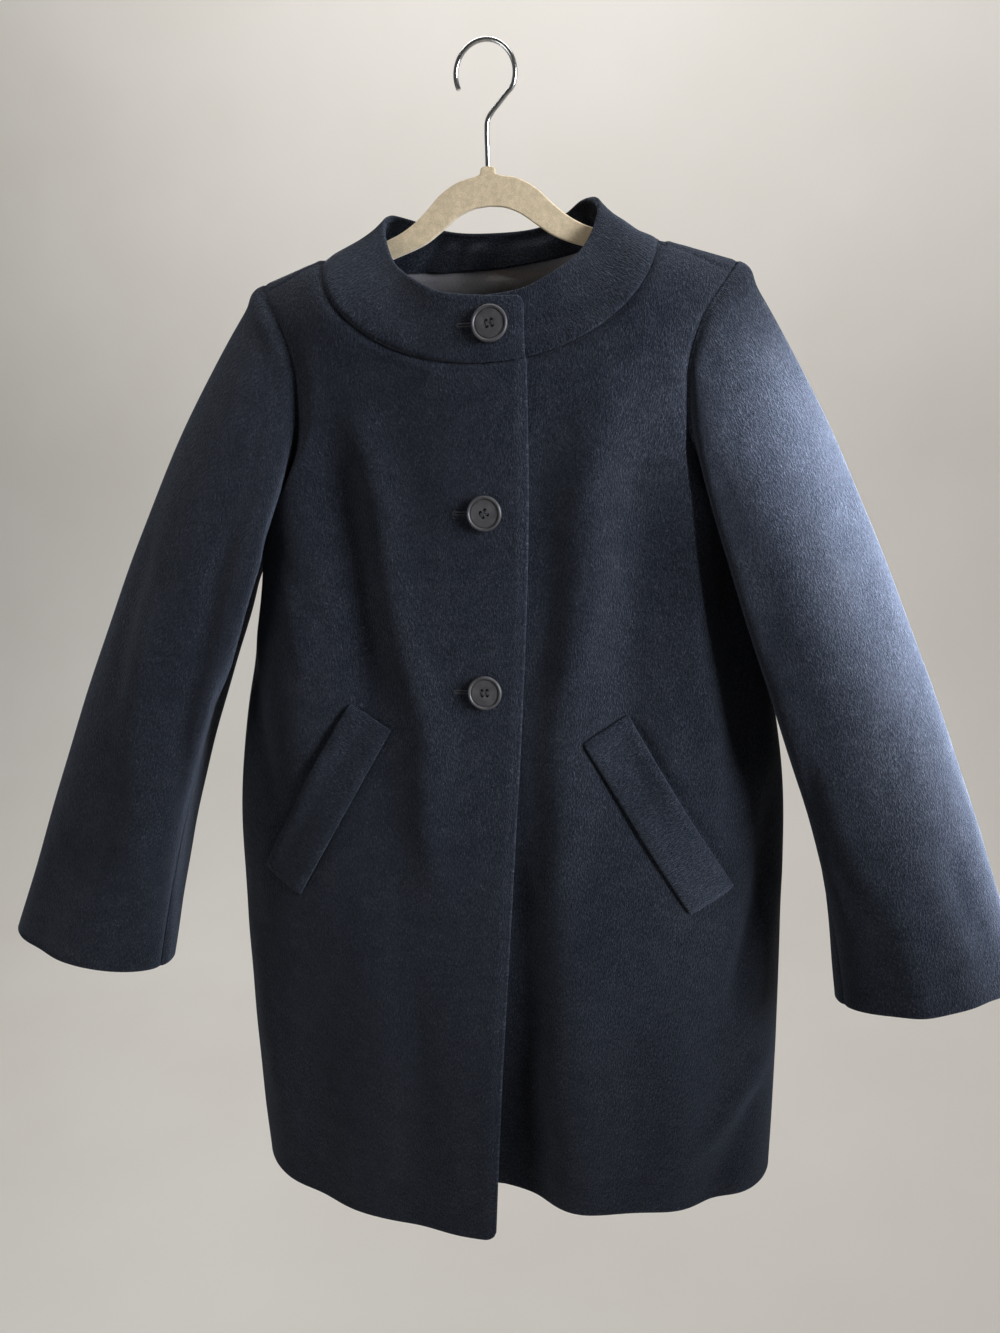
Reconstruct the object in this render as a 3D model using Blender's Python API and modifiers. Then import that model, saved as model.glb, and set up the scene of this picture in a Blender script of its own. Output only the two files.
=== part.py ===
"""Cocoon coat of thick wool cloth, buttoned up and hanging on a slim hanger.

Metres, +Z up. The coat's front faces -Y and the wearer's left side is +X.
The origin is the inside top of the hook, where a rod or a hand holds it.
Heights on the coat are drops: how far a point lies below the shoulder points.
"""

import math
from collections import namedtuple

import bmesh
import bpy
import numpy as np
from mathutils import Matrix, Vector
from mathutils.bvhtree import BVHTree

# Driving dimensions
SHOULDER_Z = -0.161
SHOULDER_HALF = 0.190
SHOULDER_SLOPE = math.tan(math.radians(17.2))
SHOULDER_ROLL = 0.055
UNDERARM_DROP = 0.200
HEM_DROP_RIGHT = 0.846
HEM_DROP_LEFT = 0.830
HEM_DROP_SIDE = 0.838
HEM_DROP_BACK = 0.842
HEM_SAG_RIGHT = 0.008
HEM_SAG_LEFT = -0.007
HANG_TWIST = 0.080

CLOTH = 0.0024
BAND_CLOTH = 0.0020
FACING_CLOTH = 0.0012
LINING_CLOTH = 0.0010
LINING_GAP = 0.0008
SEAM_GAP = 0.0003
ARMHOLE_GAP = 0.0006
FACING_GAP = 0.0006
SEAM_STRIP = 0.0025
LAP = 0.0060
UNDERLAP = 0.028

NECK_HALF = 0.132
NECK_SCOOP_FRONT = 0.087
NECK_SCOOP_BACK = 0.024

WELT_LENGTH = 0.177
WELT_WIDTH = 0.040
WELT_CLOTH = 0.0030
WELT_GAP = 0.0006
WELT_TILT = math.radians(30.0)
WELT_ACROSS = 0.143
WELT_DROP_RIGHT = 0.4270
WELT_DROP_LEFT = 0.4325

SIDE_ACROSS = 0.158
SIDE_SHARE_MOST = 0.72

BUTTON_RADIUS = 0.014
BUTTON_HEIGHT = 0.0042
BUTTON_HOLE_RADIUS = 0.0011
BUTTON_HOLE_REACH = 0.0027

HANGER_THICK = 0.0050
HANGER_ROUND = 0.0010
NUB_HALF = 0.0062
NUB_TOP = 0.0765
WIRE_RADIUS = 0.0019
HOOK_RADIUS = 0.0228

# Cross-sections of the coat's body: drop, half width at the side seams,
# depth of the front and of the back, and how square the section is.
Section = namedtuple("Section", "drop half_width front_depth back_depth square")
BODY = (
    Section(-0.060, 0.205, 0.044, 0.038, 2.4),
    Section(0.040, 0.205, 0.050, 0.043, 2.4),
    Section(0.120, 0.203, 0.054, 0.047, 2.5),
    Section(0.200, 0.205, 0.058, 0.051, 2.6),
    Section(0.300, 0.225, 0.069, 0.057, 2.9),
    Section(0.420, 0.246, 0.083, 0.064, 3.2),
    Section(0.560, 0.252, 0.092, 0.069, 3.2),
    Section(0.720, 0.255, 0.096, 0.072, 3.0),
    Section(0.860, 0.255, 0.096, 0.073, 2.9),
)

# The armholes, from the shoulder point down to the underarm: the place
# round the section in degrees from its middle, and the drop.
Armhole = namedtuple("Armhole", "share front_turn back_turn drop")
ARMHOLE = (
    Armhole(0.00, 66.0, 66.0, 0.000),
    Armhole(0.25, 51.0, 58.0, 0.040),
    Armhole(0.50, 46.0, 55.0, 0.088),
    Armhole(0.75, 52.0, 59.0, 0.146),
    Armhole(0.90, 69.0, 72.0, 0.187),
    Armhole(1.00, 90.0, 90.0, UNDERARM_DROP),
)

# The front edge of the lapping panel: how far it passes the middle.
Edge = namedtuple("Edge", "drop reach")
FRONT_EDGE = (
    Edge(0.00, 0.034),
    Edge(0.17, 0.035),
    Edge(0.33, 0.030),
    Edge(0.51, 0.020),
    Edge(0.70, 0.008),
    Edge(0.86, -0.001),
)

# Large folds of the panels: where each lies across at its top and at the
# hem, how wide it is, where it starts, and how far it stands out at the hem.
Fold = namedtuple("Fold", "panel across_top across_hem width drop_top depth")
FOLDS = (
    Fold("front_right", -0.030, -0.020, 0.075, 0.36, 0.016),
    Fold("front_right", 0.155, 0.185, 0.030, 0.46, -0.005),
    Fold("front_left", -0.005, -0.010, 0.050, 0.36, -0.030),
    Fold("front_left", 0.085, 0.095, 0.038, 0.40, 0.003),
    Fold("front_left", 0.190, 0.205, 0.022, 0.44, -0.008),
    Fold("back", -0.105, -0.125, 0.034, 0.30, -0.012),
    Fold("back", 0.000, 0.005, 0.042, 0.36, 0.007),
    Fold("back", 0.110, 0.120, 0.036, 0.26, -0.010),
)

# The upper edge of the neck band: degrees round the neck from the middle
# of the front, and the place of the edge there.
NeckEdge = namedtuple("NeckEdge", "turn across back drop")
NECK_EDGE = (
    NeckEdge(-20.0, -0.0450, -0.0462, 0.0225),
    NeckEdge(0.0, 0.0000, -0.0470, 0.0210),
    NeckEdge(15.0, 0.0335, -0.0448, 0.0165),
    NeckEdge(25.0, 0.0485, -0.0405, 0.0095),
    NeckEdge(35.0, 0.0600, -0.0354, 0.0026),
    NeckEdge(50.0, 0.0725, -0.0265, -0.0075),
    NeckEdge(65.0, 0.0800, -0.0165, -0.0185),
    NeckEdge(80.0, 0.0855, -0.0050, -0.0355),
    NeckEdge(92.0, 0.0870, 0.0040, -0.0480),
    NeckEdge(110.0, 0.0830, 0.0200, -0.0480),
    NeckEdge(135.0, 0.0640, 0.0380, -0.0410),
    NeckEdge(155.0, 0.0380, 0.0460, -0.0360),
    NeckEdge(180.0, 0.0000, 0.0490, -0.0340),
    NeckEdge(205.0, -0.0380, 0.0460, -0.0360),
)

# Each sleeve's cuff: side, middle, half width, half depth, how far its outer
# end is raised and its front lowered, and how much the sleeve above it swells.
Cuff = namedtuple("Cuff", "side across back drop half_width half_depth raised lowered swell")
CUFFS = {
    "sleeve_right": Cuff(-1, 0.389, -0.080, 0.585, 0.078, 0.038, 0.014, 0.005, 1.0),
    "sleeve_left": Cuff(1, 0.366, -0.054, 0.578, 0.0725, 0.037, 0.017, 0.002, 0.8),
}

# How the sleeve swells between armhole and cuff: degrees round it from its
# outer line by way of the front, and the swelling outwards, back and up.
Swell = namedtuple("Swell", "turn outward backward upward")
SLEEVE_TOP_SWELL = (
    Swell(0.0, 0.095, 0.000, 0.090),
    Swell(45.0, 0.060, -0.090, 0.060),
    Swell(90.0, -0.020, -0.150, 0.000),
    Swell(135.0, -0.060, -0.150, 0.000),
    Swell(165.0, 0.020, -0.080, 0.000),
    Swell(180.0, 0.070, -0.020, 0.000),
    Swell(200.0, 0.075, 0.030, 0.000),
    Swell(235.0, 0.040, 0.090, 0.000),
    Swell(270.0, 0.020, 0.110, 0.000),
    Swell(315.0, 0.060, 0.070, 0.060),
    Swell(360.0, 0.095, 0.000, 0.090),
)
SLEEVE_END_SWELL = -0.045

# Outline of the hanger's bar: distance from its middle, top and bottom.
Bar = namedtuple("Bar", "across top bottom")
BAR = (
    Bar(0.0000, 0.0705, 0.0485),
    Bar(0.0100, 0.0698, 0.0476),
    Bar(0.0240, 0.0668, 0.0424),
    Bar(0.0385, 0.0586, 0.0325),
    Bar(0.0500, 0.0480, 0.0250),
    Bar(0.0610, 0.0391, 0.0202),
    Bar(0.0720, 0.0326, 0.0166),
    Bar(0.0845, 0.0276, 0.0126),
)
BAR_END = 0.1860
BAR_GAP = 0.0004
BAR_END_HALF = 0.0065

# Buttons: name, place across, drop, and how far each is turned.
Button = namedtuple("Button", "name across drop turned")
BUTTONS = (
    Button("button_top", 0.009, 0.042, math.radians(10.0)),
    Button("button_middle", 0.002, 0.182, math.radians(30.0)),
    Button("button_bottom", 0.001, 0.325, math.radians(2.0)),
)

# Mesh steps. Rows that run from the neck seam to the armhole stand at these
# shares of the way down; the first two bound a flat strip at the shoulder seam.
SEAM_SHARES = (
    0.0, 0.0, 0.03, 0.09, 0.17, 0.27, 0.38, 0.49, 0.60, 0.70, 0.78, 0.85, 0.90, 0.94, 0.975, 1.0,
)
FRONT_COLUMNS = 11
SIDE_COLUMN = 5
BACK_COLUMNS = 8
CROWDING = 0.4
HEM_ROWS = 12
ROW_SAMPLES = 80
BAND_ROWS = 4
SLEEVE_RINGS = 14
LINING_FIRST_ROW = 5
LINING_COLUMNS = (0, 2, 3, 4, 5, 6)
COAT_NAME = "cocoon_coat_on_hanger"

# Derived sizes
STRIP_TURN = math.radians(2.0)
RIGHT_CORNER = -math.asin(FRONT_EDGE[0].reach / NECK_HALF)
LEFT_CORNER = -math.asin(UNDERLAP / NECK_HALF)


def column_at(table, name, at):
    """Smooth curve through one column of a table, read at the given places."""
    keys = np.array([row[0] for row in table])
    values = np.array([getattr(row, name) for row in table])
    slopes = np.gradient(values, keys)
    at = np.clip(at, keys[0], keys[-1])
    low = np.clip(np.searchsorted(keys, at) - 1, 0, len(keys) - 2)
    step = keys[low + 1] - keys[low]
    share = (at - keys[low]) / step
    rest = 1.0 - share
    start = rest * rest * ((1.0 + 2.0 * share) * values[low] + share * step * slopes[low])
    end = share * share * ((1.0 + 2.0 * rest) * values[low + 1] - rest * step * slopes[low + 1])
    return start + end


def smooth_step(low, high, value):
    """Soft ramp from 0 at low to 1 at high."""
    share = np.clip((value - low) / (high - low), 0.0, 1.0)
    return share * share * (3.0 - 2.0 * share)


def unit(vectors):
    """The same vectors, each of length one."""
    return vectors / np.linalg.norm(vectors, axis=-1, keepdims=True)


def shoulder_drop(across):
    """Drop of the shoulder line at a distance from the middle."""
    return (np.abs(across) - SHOULDER_HALF) * SHOULDER_SLOPE


def section_across(turn, drop):
    """Distance from the middle at a turn round the section."""
    power = 2.0 / column_at(BODY, "square", drop)
    wave = np.sin(turn)
    return column_at(BODY, "half_width", drop) * np.sign(wave) * np.abs(wave) ** power


def section_turn(across, drop):
    """Turn round the section at a distance from the middle."""
    share = np.clip(np.abs(across) / column_at(BODY, "half_width", drop), 0.0, 1.0)
    return np.sign(across) * np.arcsin(share ** (column_at(BODY, "square", drop) / 2.0))


def lap_lift(panel, across):
    """How far a front is pushed out, or in, where the two fronts lap."""
    sign = {"front_right": 0.5, "front_left": -0.5, "back": 0.0}[panel]
    return sign * LAP * (1.0 - smooth_step(0.030, 0.085, across))


def fold_lift(panel, across, drop):
    """How far the large folds push a panel out."""
    total = np.zeros(np.broadcast(across, drop).shape)
    for fold in FOLDS:
        if fold.panel != panel:
            continue
        share = smooth_step(fold.drop_top, HEM_DROP_SIDE + 0.10, drop)
        middle = fold.across_top + (fold.across_hem - fold.across_top) * share
        total += fold.depth * share * np.exp(-(((across - middle) / fold.width) ** 2)) / 0.92
    return total


def panel_points(panel, turn, drop, lift=0.0):
    """Outer surface of a body panel at turns round the section and drops."""
    face = 1.0 if panel == "back" else -1.0
    side = -1.0 if panel == "front_right" else 1.0
    half = column_at(BODY, "half_width", drop)
    depth = column_at(BODY, "back_depth" if panel == "back" else "front_depth", drop)
    square = column_at(BODY, "square", drop)
    across = section_across(turn, drop)
    fall = np.clip((drop - shoulder_drop(across)) / SHOULDER_ROLL, 0.0, 1.0)
    out = depth * np.cos(turn) * np.sqrt(1.0 - (1.0 - fall) ** 2)
    push_across = np.sign(across) * square * (np.abs(across) / half) ** (square - 1.0) / half
    push_out = 2.0 * np.cos(turn) / depth
    size = np.hypot(push_across, push_out)
    push = lift + lap_lift(panel, across) + fold_lift(panel, across, drop)
    x = side * (across + push * push_across / size)
    y = face * (out + push * push_out / size + SEAM_STRIP)
    return np.stack([x, y, SHOULDER_Z - drop + 0.0 * x], axis=-1)


def hung(points):
    """The same points after the coat's skirt has turned a little on its hanger."""
    drop = SHOULDER_Z - points[..., 2]
    turned = np.array(points)
    turned[..., 1] += HANG_TWIST * points[..., 0] * smooth_step(UNDERARM_DROP, 0.60, drop)
    return turned


def front_points(panel, across, drop, lift=0.0):
    """Outer surface of a front at distances from the middle and drops."""
    return panel_points(panel, section_turn(across, drop), drop, lift)


def neck_seam(turn, inset=0.0):
    """Seam between body and neck band, by the turn from the middle of the front."""
    half = NECK_HALF - inset
    scoop = np.where(np.cos(turn) > 0.0, NECK_SCOOP_FRONT, NECK_SCOOP_BACK) - inset
    return half * np.sin(turn), shoulder_drop(half) + scoop * np.abs(np.cos(turn))


def seam_turn(panel, share):
    """Turn round the neck at a share of the way along a panel's neck seam."""
    ends = {"front_right": RIGHT_CORNER, "front_left": LEFT_CORNER, "back": math.pi}
    return math.pi / 2.0 + (ends[panel] - math.pi / 2.0) * share


def armhole_edge(panel, share):
    """Turn and drop of a panel's armhole at a share of the way down."""
    name = "back_turn" if panel == "back" else "front_turn"
    return np.radians(column_at(ARMHOLE, name, share)), column_at(ARMHOLE, "drop", share)


def panel_row(panel, inner, outer, side=1.0, sag=0.0):
    """Closely set points of a panel from an inner place to an outer place."""
    across_in, drop_in = inner
    turn_out, drop_out = outer
    turn = np.linspace(section_turn(across_in, drop_in), turn_out, ROW_SAMPLES)
    across_out = section_across(turn_out, drop_out)
    drop = np.linspace(drop_in, drop_out, ROW_SAMPLES)
    for _ in range(4):
        across = section_across(turn, drop)
        share = (across - across_in) / (across_out - across_in)
        drop = drop_in + (drop_out - drop_in) * share + sag * 4.0 * share * (1.0 - share)
    return panel_points(panel, side * turn, drop)


def armhole_way(panel, side, share, row):
    """Direction in the body's surface that leads out of it across the armhole's edge."""
    along_row = unit(row[-1] - row[-2])
    step = 0.002
    wing = side if panel == "back" else 1.0
    turn, drop = armhole_edge(panel, share)
    round_it = panel_points(panel, wing * (turn + step), drop) - panel_points(panel, wing * (turn - step), drop)
    down = panel_points(panel, wing * turn, drop + step) - panel_points(panel, wing * turn, drop - step)
    ends = []
    for place in (max(share - step, 0.0), min(share + step, 1.0)):
        turn_at, drop_at = armhole_edge(panel, place)
        ends.append(panel_points(panel, wing * turn_at, drop_at))
    way = unit(np.cross(ends[1] - ends[0], np.cross(round_it, down)))
    inside = np.array([side * SHOULDER_HALF / 2.0, 0.0, SHOULDER_Z - 1.3 * UNDERARM_DROP])
    way = way * np.sign(np.dot(way, ends[0] - inside))
    lowness = smooth_step(0.40, 0.65, share)
    return unit((1.0 - lowness) * along_row + lowness * way)


def lengths_along(points):
    """How far along a line each of its points lies."""
    return np.concatenate([[0.0], np.cumsum(np.linalg.norm(np.diff(points, axis=0), axis=1))])


def side_place(points, wing):
    """How far along a front's row its side part begins."""
    lengths = lengths_along(points)
    return min(np.interp(SIDE_ACROSS, wing * points[:, 0], lengths), SIDE_SHARE_MOST * lengths[-1])


def spaced(points, steps, strip_start, strip_end, side_at=None):
    """Points along a line, closer at its end, with a narrow strip at a seamed end.

    On a front one of them lies where its side part begins.
    """
    lengths = lengths_along(points)
    crowding = 1.0 + CROWDING * smooth_step(0.10, 0.22, lengths[-1])
    places = lengths[-1] * (1.0 - np.linspace(1.0, 0.0, steps) ** crowding)
    if side_at is not None:
        places = np.interp(places, [0.0, places[SIDE_COLUMN], lengths[-1]], [0.0, side_at, lengths[-1]])
    if strip_start:
        places[1] = SEAM_STRIP
    if strip_end:
        places = np.insert(places, -1, lengths[-1] - SEAM_STRIP)
    return np.stack([np.interp(places, lengths, points[:, axis]) for axis in range(3)], axis=-1)


def panel_rows(panel, edge_reach, hem_drop, hem_sag):
    """Inner and outer ends and sag of a panel's rows, from shoulder seam to hem."""
    rows = []
    for share in SEAM_SHARES:
        across, drop = neck_seam(seam_turn(panel, share), -SEAM_GAP / 2.0)
        rows.append(((float(across), float(drop)), armhole_edge(panel, share), 0.0))
    top_in = rows[-1][0][1]
    top_out = rows[-1][1][1]
    for step in range(1, HEM_ROWS + 1):
        share = step / HEM_ROWS
        drop_in = top_in + (hem_drop - top_in) * share
        drop_out = top_out + (HEM_DROP_SIDE - top_out) * share
        rows.append(((edge_reach(drop_in), drop_in), (math.pi / 2.0, drop_out), hem_sag * share * share))
    return rows


def right_edge(drop):
    """Front edge of the lapping front."""
    return -float(column_at(FRONT_EDGE, "reach", drop))


def left_edge(drop):
    """Front edge of the front that lies under the lap."""
    return -UNDERLAP


def no_edge(drop):
    """The back has no edge: its two halves meet in the middle."""
    return 0.0


def panel_grid(panel, edge_reach, hem_drop, hem_sag, steps, side=1.0):
    """Grid of points of a front, or of half the back."""
    face = 1.0 if panel == "back" else -1.0
    wing = {"front_right": -1.0, "front_left": 1.0, "back": side}[panel]
    grid = []
    for index, (inner, outer, sag) in enumerate(panel_rows(panel, edge_reach, hem_drop, hem_sag)):
        line = panel_row(panel, inner, outer, side, sag)
        at_armhole = index < len(SEAM_SHARES) - 1
        side_at = None if panel == "back" else side_place(line, wing)
        row = spaced(line, steps, index < len(SEAM_SHARES), at_armhole, side_at)
        if not at_armhole:
            row = np.concatenate([row, row[-1:]])
            row[-1, 1] = face * SEAM_GAP / 2.0
        if index < len(SEAM_SHARES):
            row[-2:] -= armhole_way(panel, wing, SEAM_SHARES[index], line) * ARMHOLE_GAP / 2.0
        grid.append(row)
    grid[0][:, 1] = face * SEAM_GAP / 2.0
    return hung(np.array(grid))


def grid_mesh(name, grid, closed=False, flip=False):
    """Open surface through a grid of points, joined round when closed."""
    rows, columns = grid.shape[:2]
    mesh = bmesh.new()
    corners = [[mesh.verts.new(point) for point in row] for row in grid]
    for row in range(rows - 1):
        for column in range(columns if closed else columns - 1):
            beside = (column + 1) % columns
            face = [
                corners[row][column],
                corners[row][beside],
                corners[row + 1][beside],
                corners[row + 1][column],
            ]
            mesh.faces.new(face[::-1] if flip else face)
    data = bpy.data.meshes.new(name)
    mesh.to_mesh(data)
    mesh.free()
    return data


def grid_normals(grid, closed=False):
    """Directions square to a grid of points."""
    along = np.gradient(grid, axis=0)
    if closed:
        round_it = (np.roll(grid, -1, axis=1) - np.roll(grid, 1, axis=1)) / 2.0
    else:
        round_it = np.gradient(grid, axis=1)
    return unit(np.cross(along, round_it))


def material(name, colour, roughness, metallic=0.0):
    """Plain surface of one colour."""
    made = bpy.data.materials.new(name)
    made.use_nodes = True
    shader = made.node_tree.nodes["Principled BSDF"]
    shader.inputs["Base Color"].default_value = (*colour, 1.0)
    shader.inputs["Roughness"].default_value = roughness
    shader.inputs["Metallic"].default_value = metallic
    return made


def add_object(name, data, surface, collection):
    """Object with its data and material in a collection."""
    made = bpy.data.objects.new(name, data)
    data.materials.append(surface)
    collection.objects.link(made)
    return made


def thicken(item, thickness):
    """Give an open surface the cloth's thickness, towards its inner side."""
    wall = item.modifiers.new("cloth", "SOLIDIFY")
    wall.thickness = thickness
    wall.offset = -1.0
    item.data.shade_smooth()


def add_cloth(name, grid, thickness, surface, collection, closed=False, flip=False):
    """Cloth wall: a surface thickened towards its inner side."""
    data = grid_mesh(name, grid, closed, flip)
    thicken(add_object(name, data, surface, collection), thickness)


def back_halves():
    """Grids of the two halves of the back, wearer's right half first."""
    return [panel_grid("back", no_edge, HEM_DROP_BACK, 0.0, BACK_COLUMNS, side) for side in (-1.0, 1.0)]


def neck_columns():
    """Places round the neck, from the lapping end to the end that lies under it."""
    last = len(SEAM_SHARES) - 1
    places = [("front_right", index) for index in range(last, -1, -1)]
    places += [("back_right", index) for index in range(1, last + 1)]
    places += [("back_left", index) for index in range(last - 1, 0, -1)]
    places += [("front_left", index) for index in range(0, last + 1)]
    return places


def band_column(name, turn, strip=None):
    """Foot, start and edge of the neck band at one turn round the neck."""
    side = -1.0 if name.endswith("right") else 1.0
    panel = name if name.startswith("front") else "back"
    ends = []
    for inset in (SEAM_GAP / 2.0, SEAM_GAP / 2.0 + SEAM_STRIP):
        across, drop = neck_seam(turn, inset)
        wing = side if panel == "back" else 1.0
        ends.append(panel_points(panel, wing * section_turn(across, drop), drop))
        if strip == 0:
            ends[-1][1] = 0.0
    lap = 0.0 if panel == "back" else float(lap_lift(panel, NECK_HALF * math.sin(turn)))
    if strip == 1:
        turn += STRIP_TURN if panel == "back" else -STRIP_TURN
    degrees = math.degrees(turn)
    edge = np.array([
        side * column_at(NECK_EDGE, "across", degrees),
        column_at(NECK_EDGE, "back", degrees) - lap,
        SHOULDER_Z - column_at(NECK_EDGE, "drop", degrees),
    ])
    return ends[0], ends[1], edge


def band_line(foot, start, edge, share):
    """Point of the neck band at a share of the way from its start to its edge."""
    reach = np.linalg.norm(edge - start, axis=-1, keepdims=True)
    leave = unit(start - foot) * reach
    arrive = 0.55 * (edge - start) + 0.45 * reach * np.array([0.0, 0.0, 1.0])
    rest = 1.0 - share
    lower = rest * rest * ((1.0 + 2.0 * share) * start + share * leave)
    return lower + share * share * ((1.0 + 2.0 * rest) * edge - rest * arrive)


def band_grid():
    """Outer surface of the neck band, seam first, from end to end."""
    columns = []
    for name, index in neck_columns():
        panel = name if name.startswith("front") else "back"
        columns.append(band_column(name, seam_turn(panel, SEAM_SHARES[index]), index))
    foot, start, edge = np.array(columns).transpose(1, 0, 2)
    rows = [band_line(foot, start, edge, share) for share in np.linspace(0.0, 1.0, BAND_ROWS + 1)]
    return np.array([foot] + rows)


def lining_halves(halves):
    """Grids of the back lining: the back moved in, below the shoulders and above the hem."""
    made = []
    for half, side in zip(halves, (-1.0, 1.0)):
        inward = side * grid_normals(half) * (CLOTH + LINING_GAP)
        made.append((half + inward)[LINING_FIRST_ROW:-1, LINING_COLUMNS])
    joined = len(SEAM_SHARES) - 1 - LINING_FIRST_ROW
    middle = (made[0][joined:, 0] + made[1][joined:, 0]) / 2.0
    middle[:, 0] = 0.0
    for half in made:
        half[joined:, 0] = middle
    return made


def sleeve_start(side):
    """Armhole points round a sleeve and the way its cloth leaves them."""
    front = "front_right" if side < 0 else "front_left"
    last = len(SEAM_SHARES) - 1
    places = [(front, index) for index in range(last + 1)]
    places += [("back", index) for index in range(last - 1, 0, -1)]
    points = []
    ways = []
    turns = []
    for panel, index in places:
        share = SEAM_SHARES[index]
        inner = neck_seam(seam_turn(panel, share))
        row = panel_row(panel, (float(inner[0]), float(inner[1])), armhole_edge(panel, share))
        if panel == "back":
            row[:, 0] *= side
        way = armhole_way(panel, side, share, row)
        if index in (0, last):
            row[-1][1] = 0.0
        turn = math.pi * share + (STRIP_TURN if index == 1 else 0.0)
        points.append(row[-1])
        ways.append(way)
        turns.append(2.0 * math.pi - turn if panel == "back" else turn)
    return np.array(points), np.array(ways), np.array(turns)


def cuff_ring(cuff, turns):
    """Lower edge of a sleeve, starting at its outer end by way of the front."""
    along = np.cos(turns)
    ahead = np.sin(turns)
    return np.stack([
        cuff.side * (cuff.across + cuff.half_width * along),
        cuff.back - cuff.half_depth * ahead,
        SHOULDER_Z - cuff.drop + cuff.raised * along - cuff.lowered * ahead,
    ], axis=-1)


def sleeve_grid(cuff):
    """Outer surface of a sleeve, rings from the armhole to the cuff."""
    seam, way, turns = sleeve_start(cuff.side)
    first = seam + way * ARMHOLE_GAP / 2.0
    start = first + way * SEAM_STRIP
    end = cuff_ring(cuff, turns)
    degrees = np.degrees(turns)
    swell = np.stack([
        cuff.side * column_at(SLEEVE_TOP_SWELL, "outward", degrees),
        column_at(SLEEVE_TOP_SWELL, "backward", degrees),
        column_at(SLEEVE_TOP_SWELL, "upward", degrees),
    ], axis=-1)
    leave = end - start + cuff.swell * swell
    arrive = end - start + np.array([cuff.side * SLEEVE_END_SWELL, 0.0, 0.0])
    rings = [first, start]
    for share in np.linspace(0.0, 1.0, SLEEVE_RINGS)[1:] ** 1.35:
        rest = 1.0 - share
        rings.append(
            rest * rest * ((1.0 + 2.0 * share) * start + share * leave)
            + share * share * ((1.0 + 2.0 * rest) * end - rest * arrive)
        )
    return np.array(rings)


def welt_grid(panel, middle_drop):
    """Outer surface of a pocket welt: a slanting bar of the front, moved out."""
    along = np.linspace(-0.5, 0.5, 9) * WELT_LENGTH
    over = np.linspace(-0.5, 0.5, 4) * WELT_WIDTH
    along, over = np.meshgrid(along, over)
    across = WELT_ACROSS + along * math.sin(WELT_TILT) + over * math.cos(WELT_TILT)
    drop = middle_drop + along * math.cos(WELT_TILT) - over * math.sin(WELT_TILT)
    return hung(front_points(panel, across, drop, WELT_GAP + WELT_CLOTH))


def seat_frame(point, beside, below, turned):
    """Place and directions of a round piece that lies on the cloth."""
    right = Vector(beside - point).normalized()
    out = Vector(below - point).cross(right).normalized()
    frame = Matrix((right, out.cross(right), out)).transposed().to_4x4()
    return Matrix.Translation(point) @ frame @ Matrix.Rotation(turned, 4, "Z")


def clear_scene():
    """Remove every object of the open scene."""
    for item in list(bpy.data.objects):
        bpy.data.objects.remove(item, do_unlink=True)


def new_collection(name):
    """Collection of the open scene."""
    made = bpy.data.collections.new(name)
    bpy.context.scene.collection.children.link(made)
    return made


def add_front(name, grid, surfaces, collection, flip=False):
    """Cloth wall of a front in two parts, a seam's gap apart: by its front edge and at its side."""
    middle = grid[:, SIDE_COLUMN]
    way = unit(grid[:, SIDE_COLUMN + 1] - grid[:, SIDE_COLUMN - 1])
    gap = way * SEAM_GAP / 2.0
    strip = way * SEAM_STRIP
    before = np.stack([middle - strip, middle - gap], axis=1)
    beyond = np.stack([middle + gap, middle + strip], axis=1)
    by_edge = np.concatenate([grid[:, :SIDE_COLUMN], before], axis=1)
    at_side = np.concatenate([beyond, grid[:, SIDE_COLUMN + 1:]], axis=1)
    for part, points in ((name, by_edge), (name + "_side", at_side)):
        add_cloth(part, points, CLOTH, surfaces[part], collection, flip=flip)


def add_halves(name, halves, thickness, surface, collection):
    """Cloth wall of two halves that are joined along the middle."""
    mesh = bmesh.new()
    for half, flip in zip(halves, (True, False)):
        mesh.from_mesh(grid_mesh("half", half, flip=flip))
    middle = [corner for corner in mesh.verts if abs(corner.co.x) < 1e-5]
    bmesh.ops.remove_doubles(mesh, verts=middle, dist=1e-5)
    data = bpy.data.meshes.new(name)
    mesh.to_mesh(data)
    mesh.free()
    thicken(add_object(name, data, surface, collection), thickness)


def settled(frame, cloth):
    """Frame of a button, moved along its axis until it lies just clear of the cloth."""
    corners = [corner.co for corner in cloth.vertices]
    tree = BVHTree.FromPolygons(corners, [face.vertices[:] for face in cloth.polygons])
    out = frame.col[2].xyz
    lift = BUTTON_RADIUS
    clear = []
    for reach in (0.0, 0.45, 0.85):
        for angle in np.linspace(0.0, 2.0 * math.pi, 16, endpoint=False):
            spot = Vector((reach * math.cos(angle), reach * math.sin(angle), 0.0)) * BUTTON_RADIUS
            hit = tree.ray_cast(frame @ spot + out * lift, -out)
            if hit[0] is not None:
                clear.append(hit[3] - lift)
    return Matrix.Translation(out * (SEAM_GAP - min(clear))) @ frame


def button_frame(button, on_band):
    """Seat of a button: on the neck band at the top, on the lapping front below."""
    step = 0.004
    if not on_band:
        spots = [(-button.across, button.drop), (-button.across - step, button.drop),
                 (-button.across, button.drop + step)]
        points = [hung(front_points("front_right", across, drop)) for across, drop in spots]
    else:
        points = []
        for across, share in ((-button.across, 0.55), (-button.across - step, 0.55), (-button.across, 0.45)):
            points.append(band_line(*band_column("front_right", math.asin(across / NECK_HALF)), share))
    return seat_frame(*points, button.turned)


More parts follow.
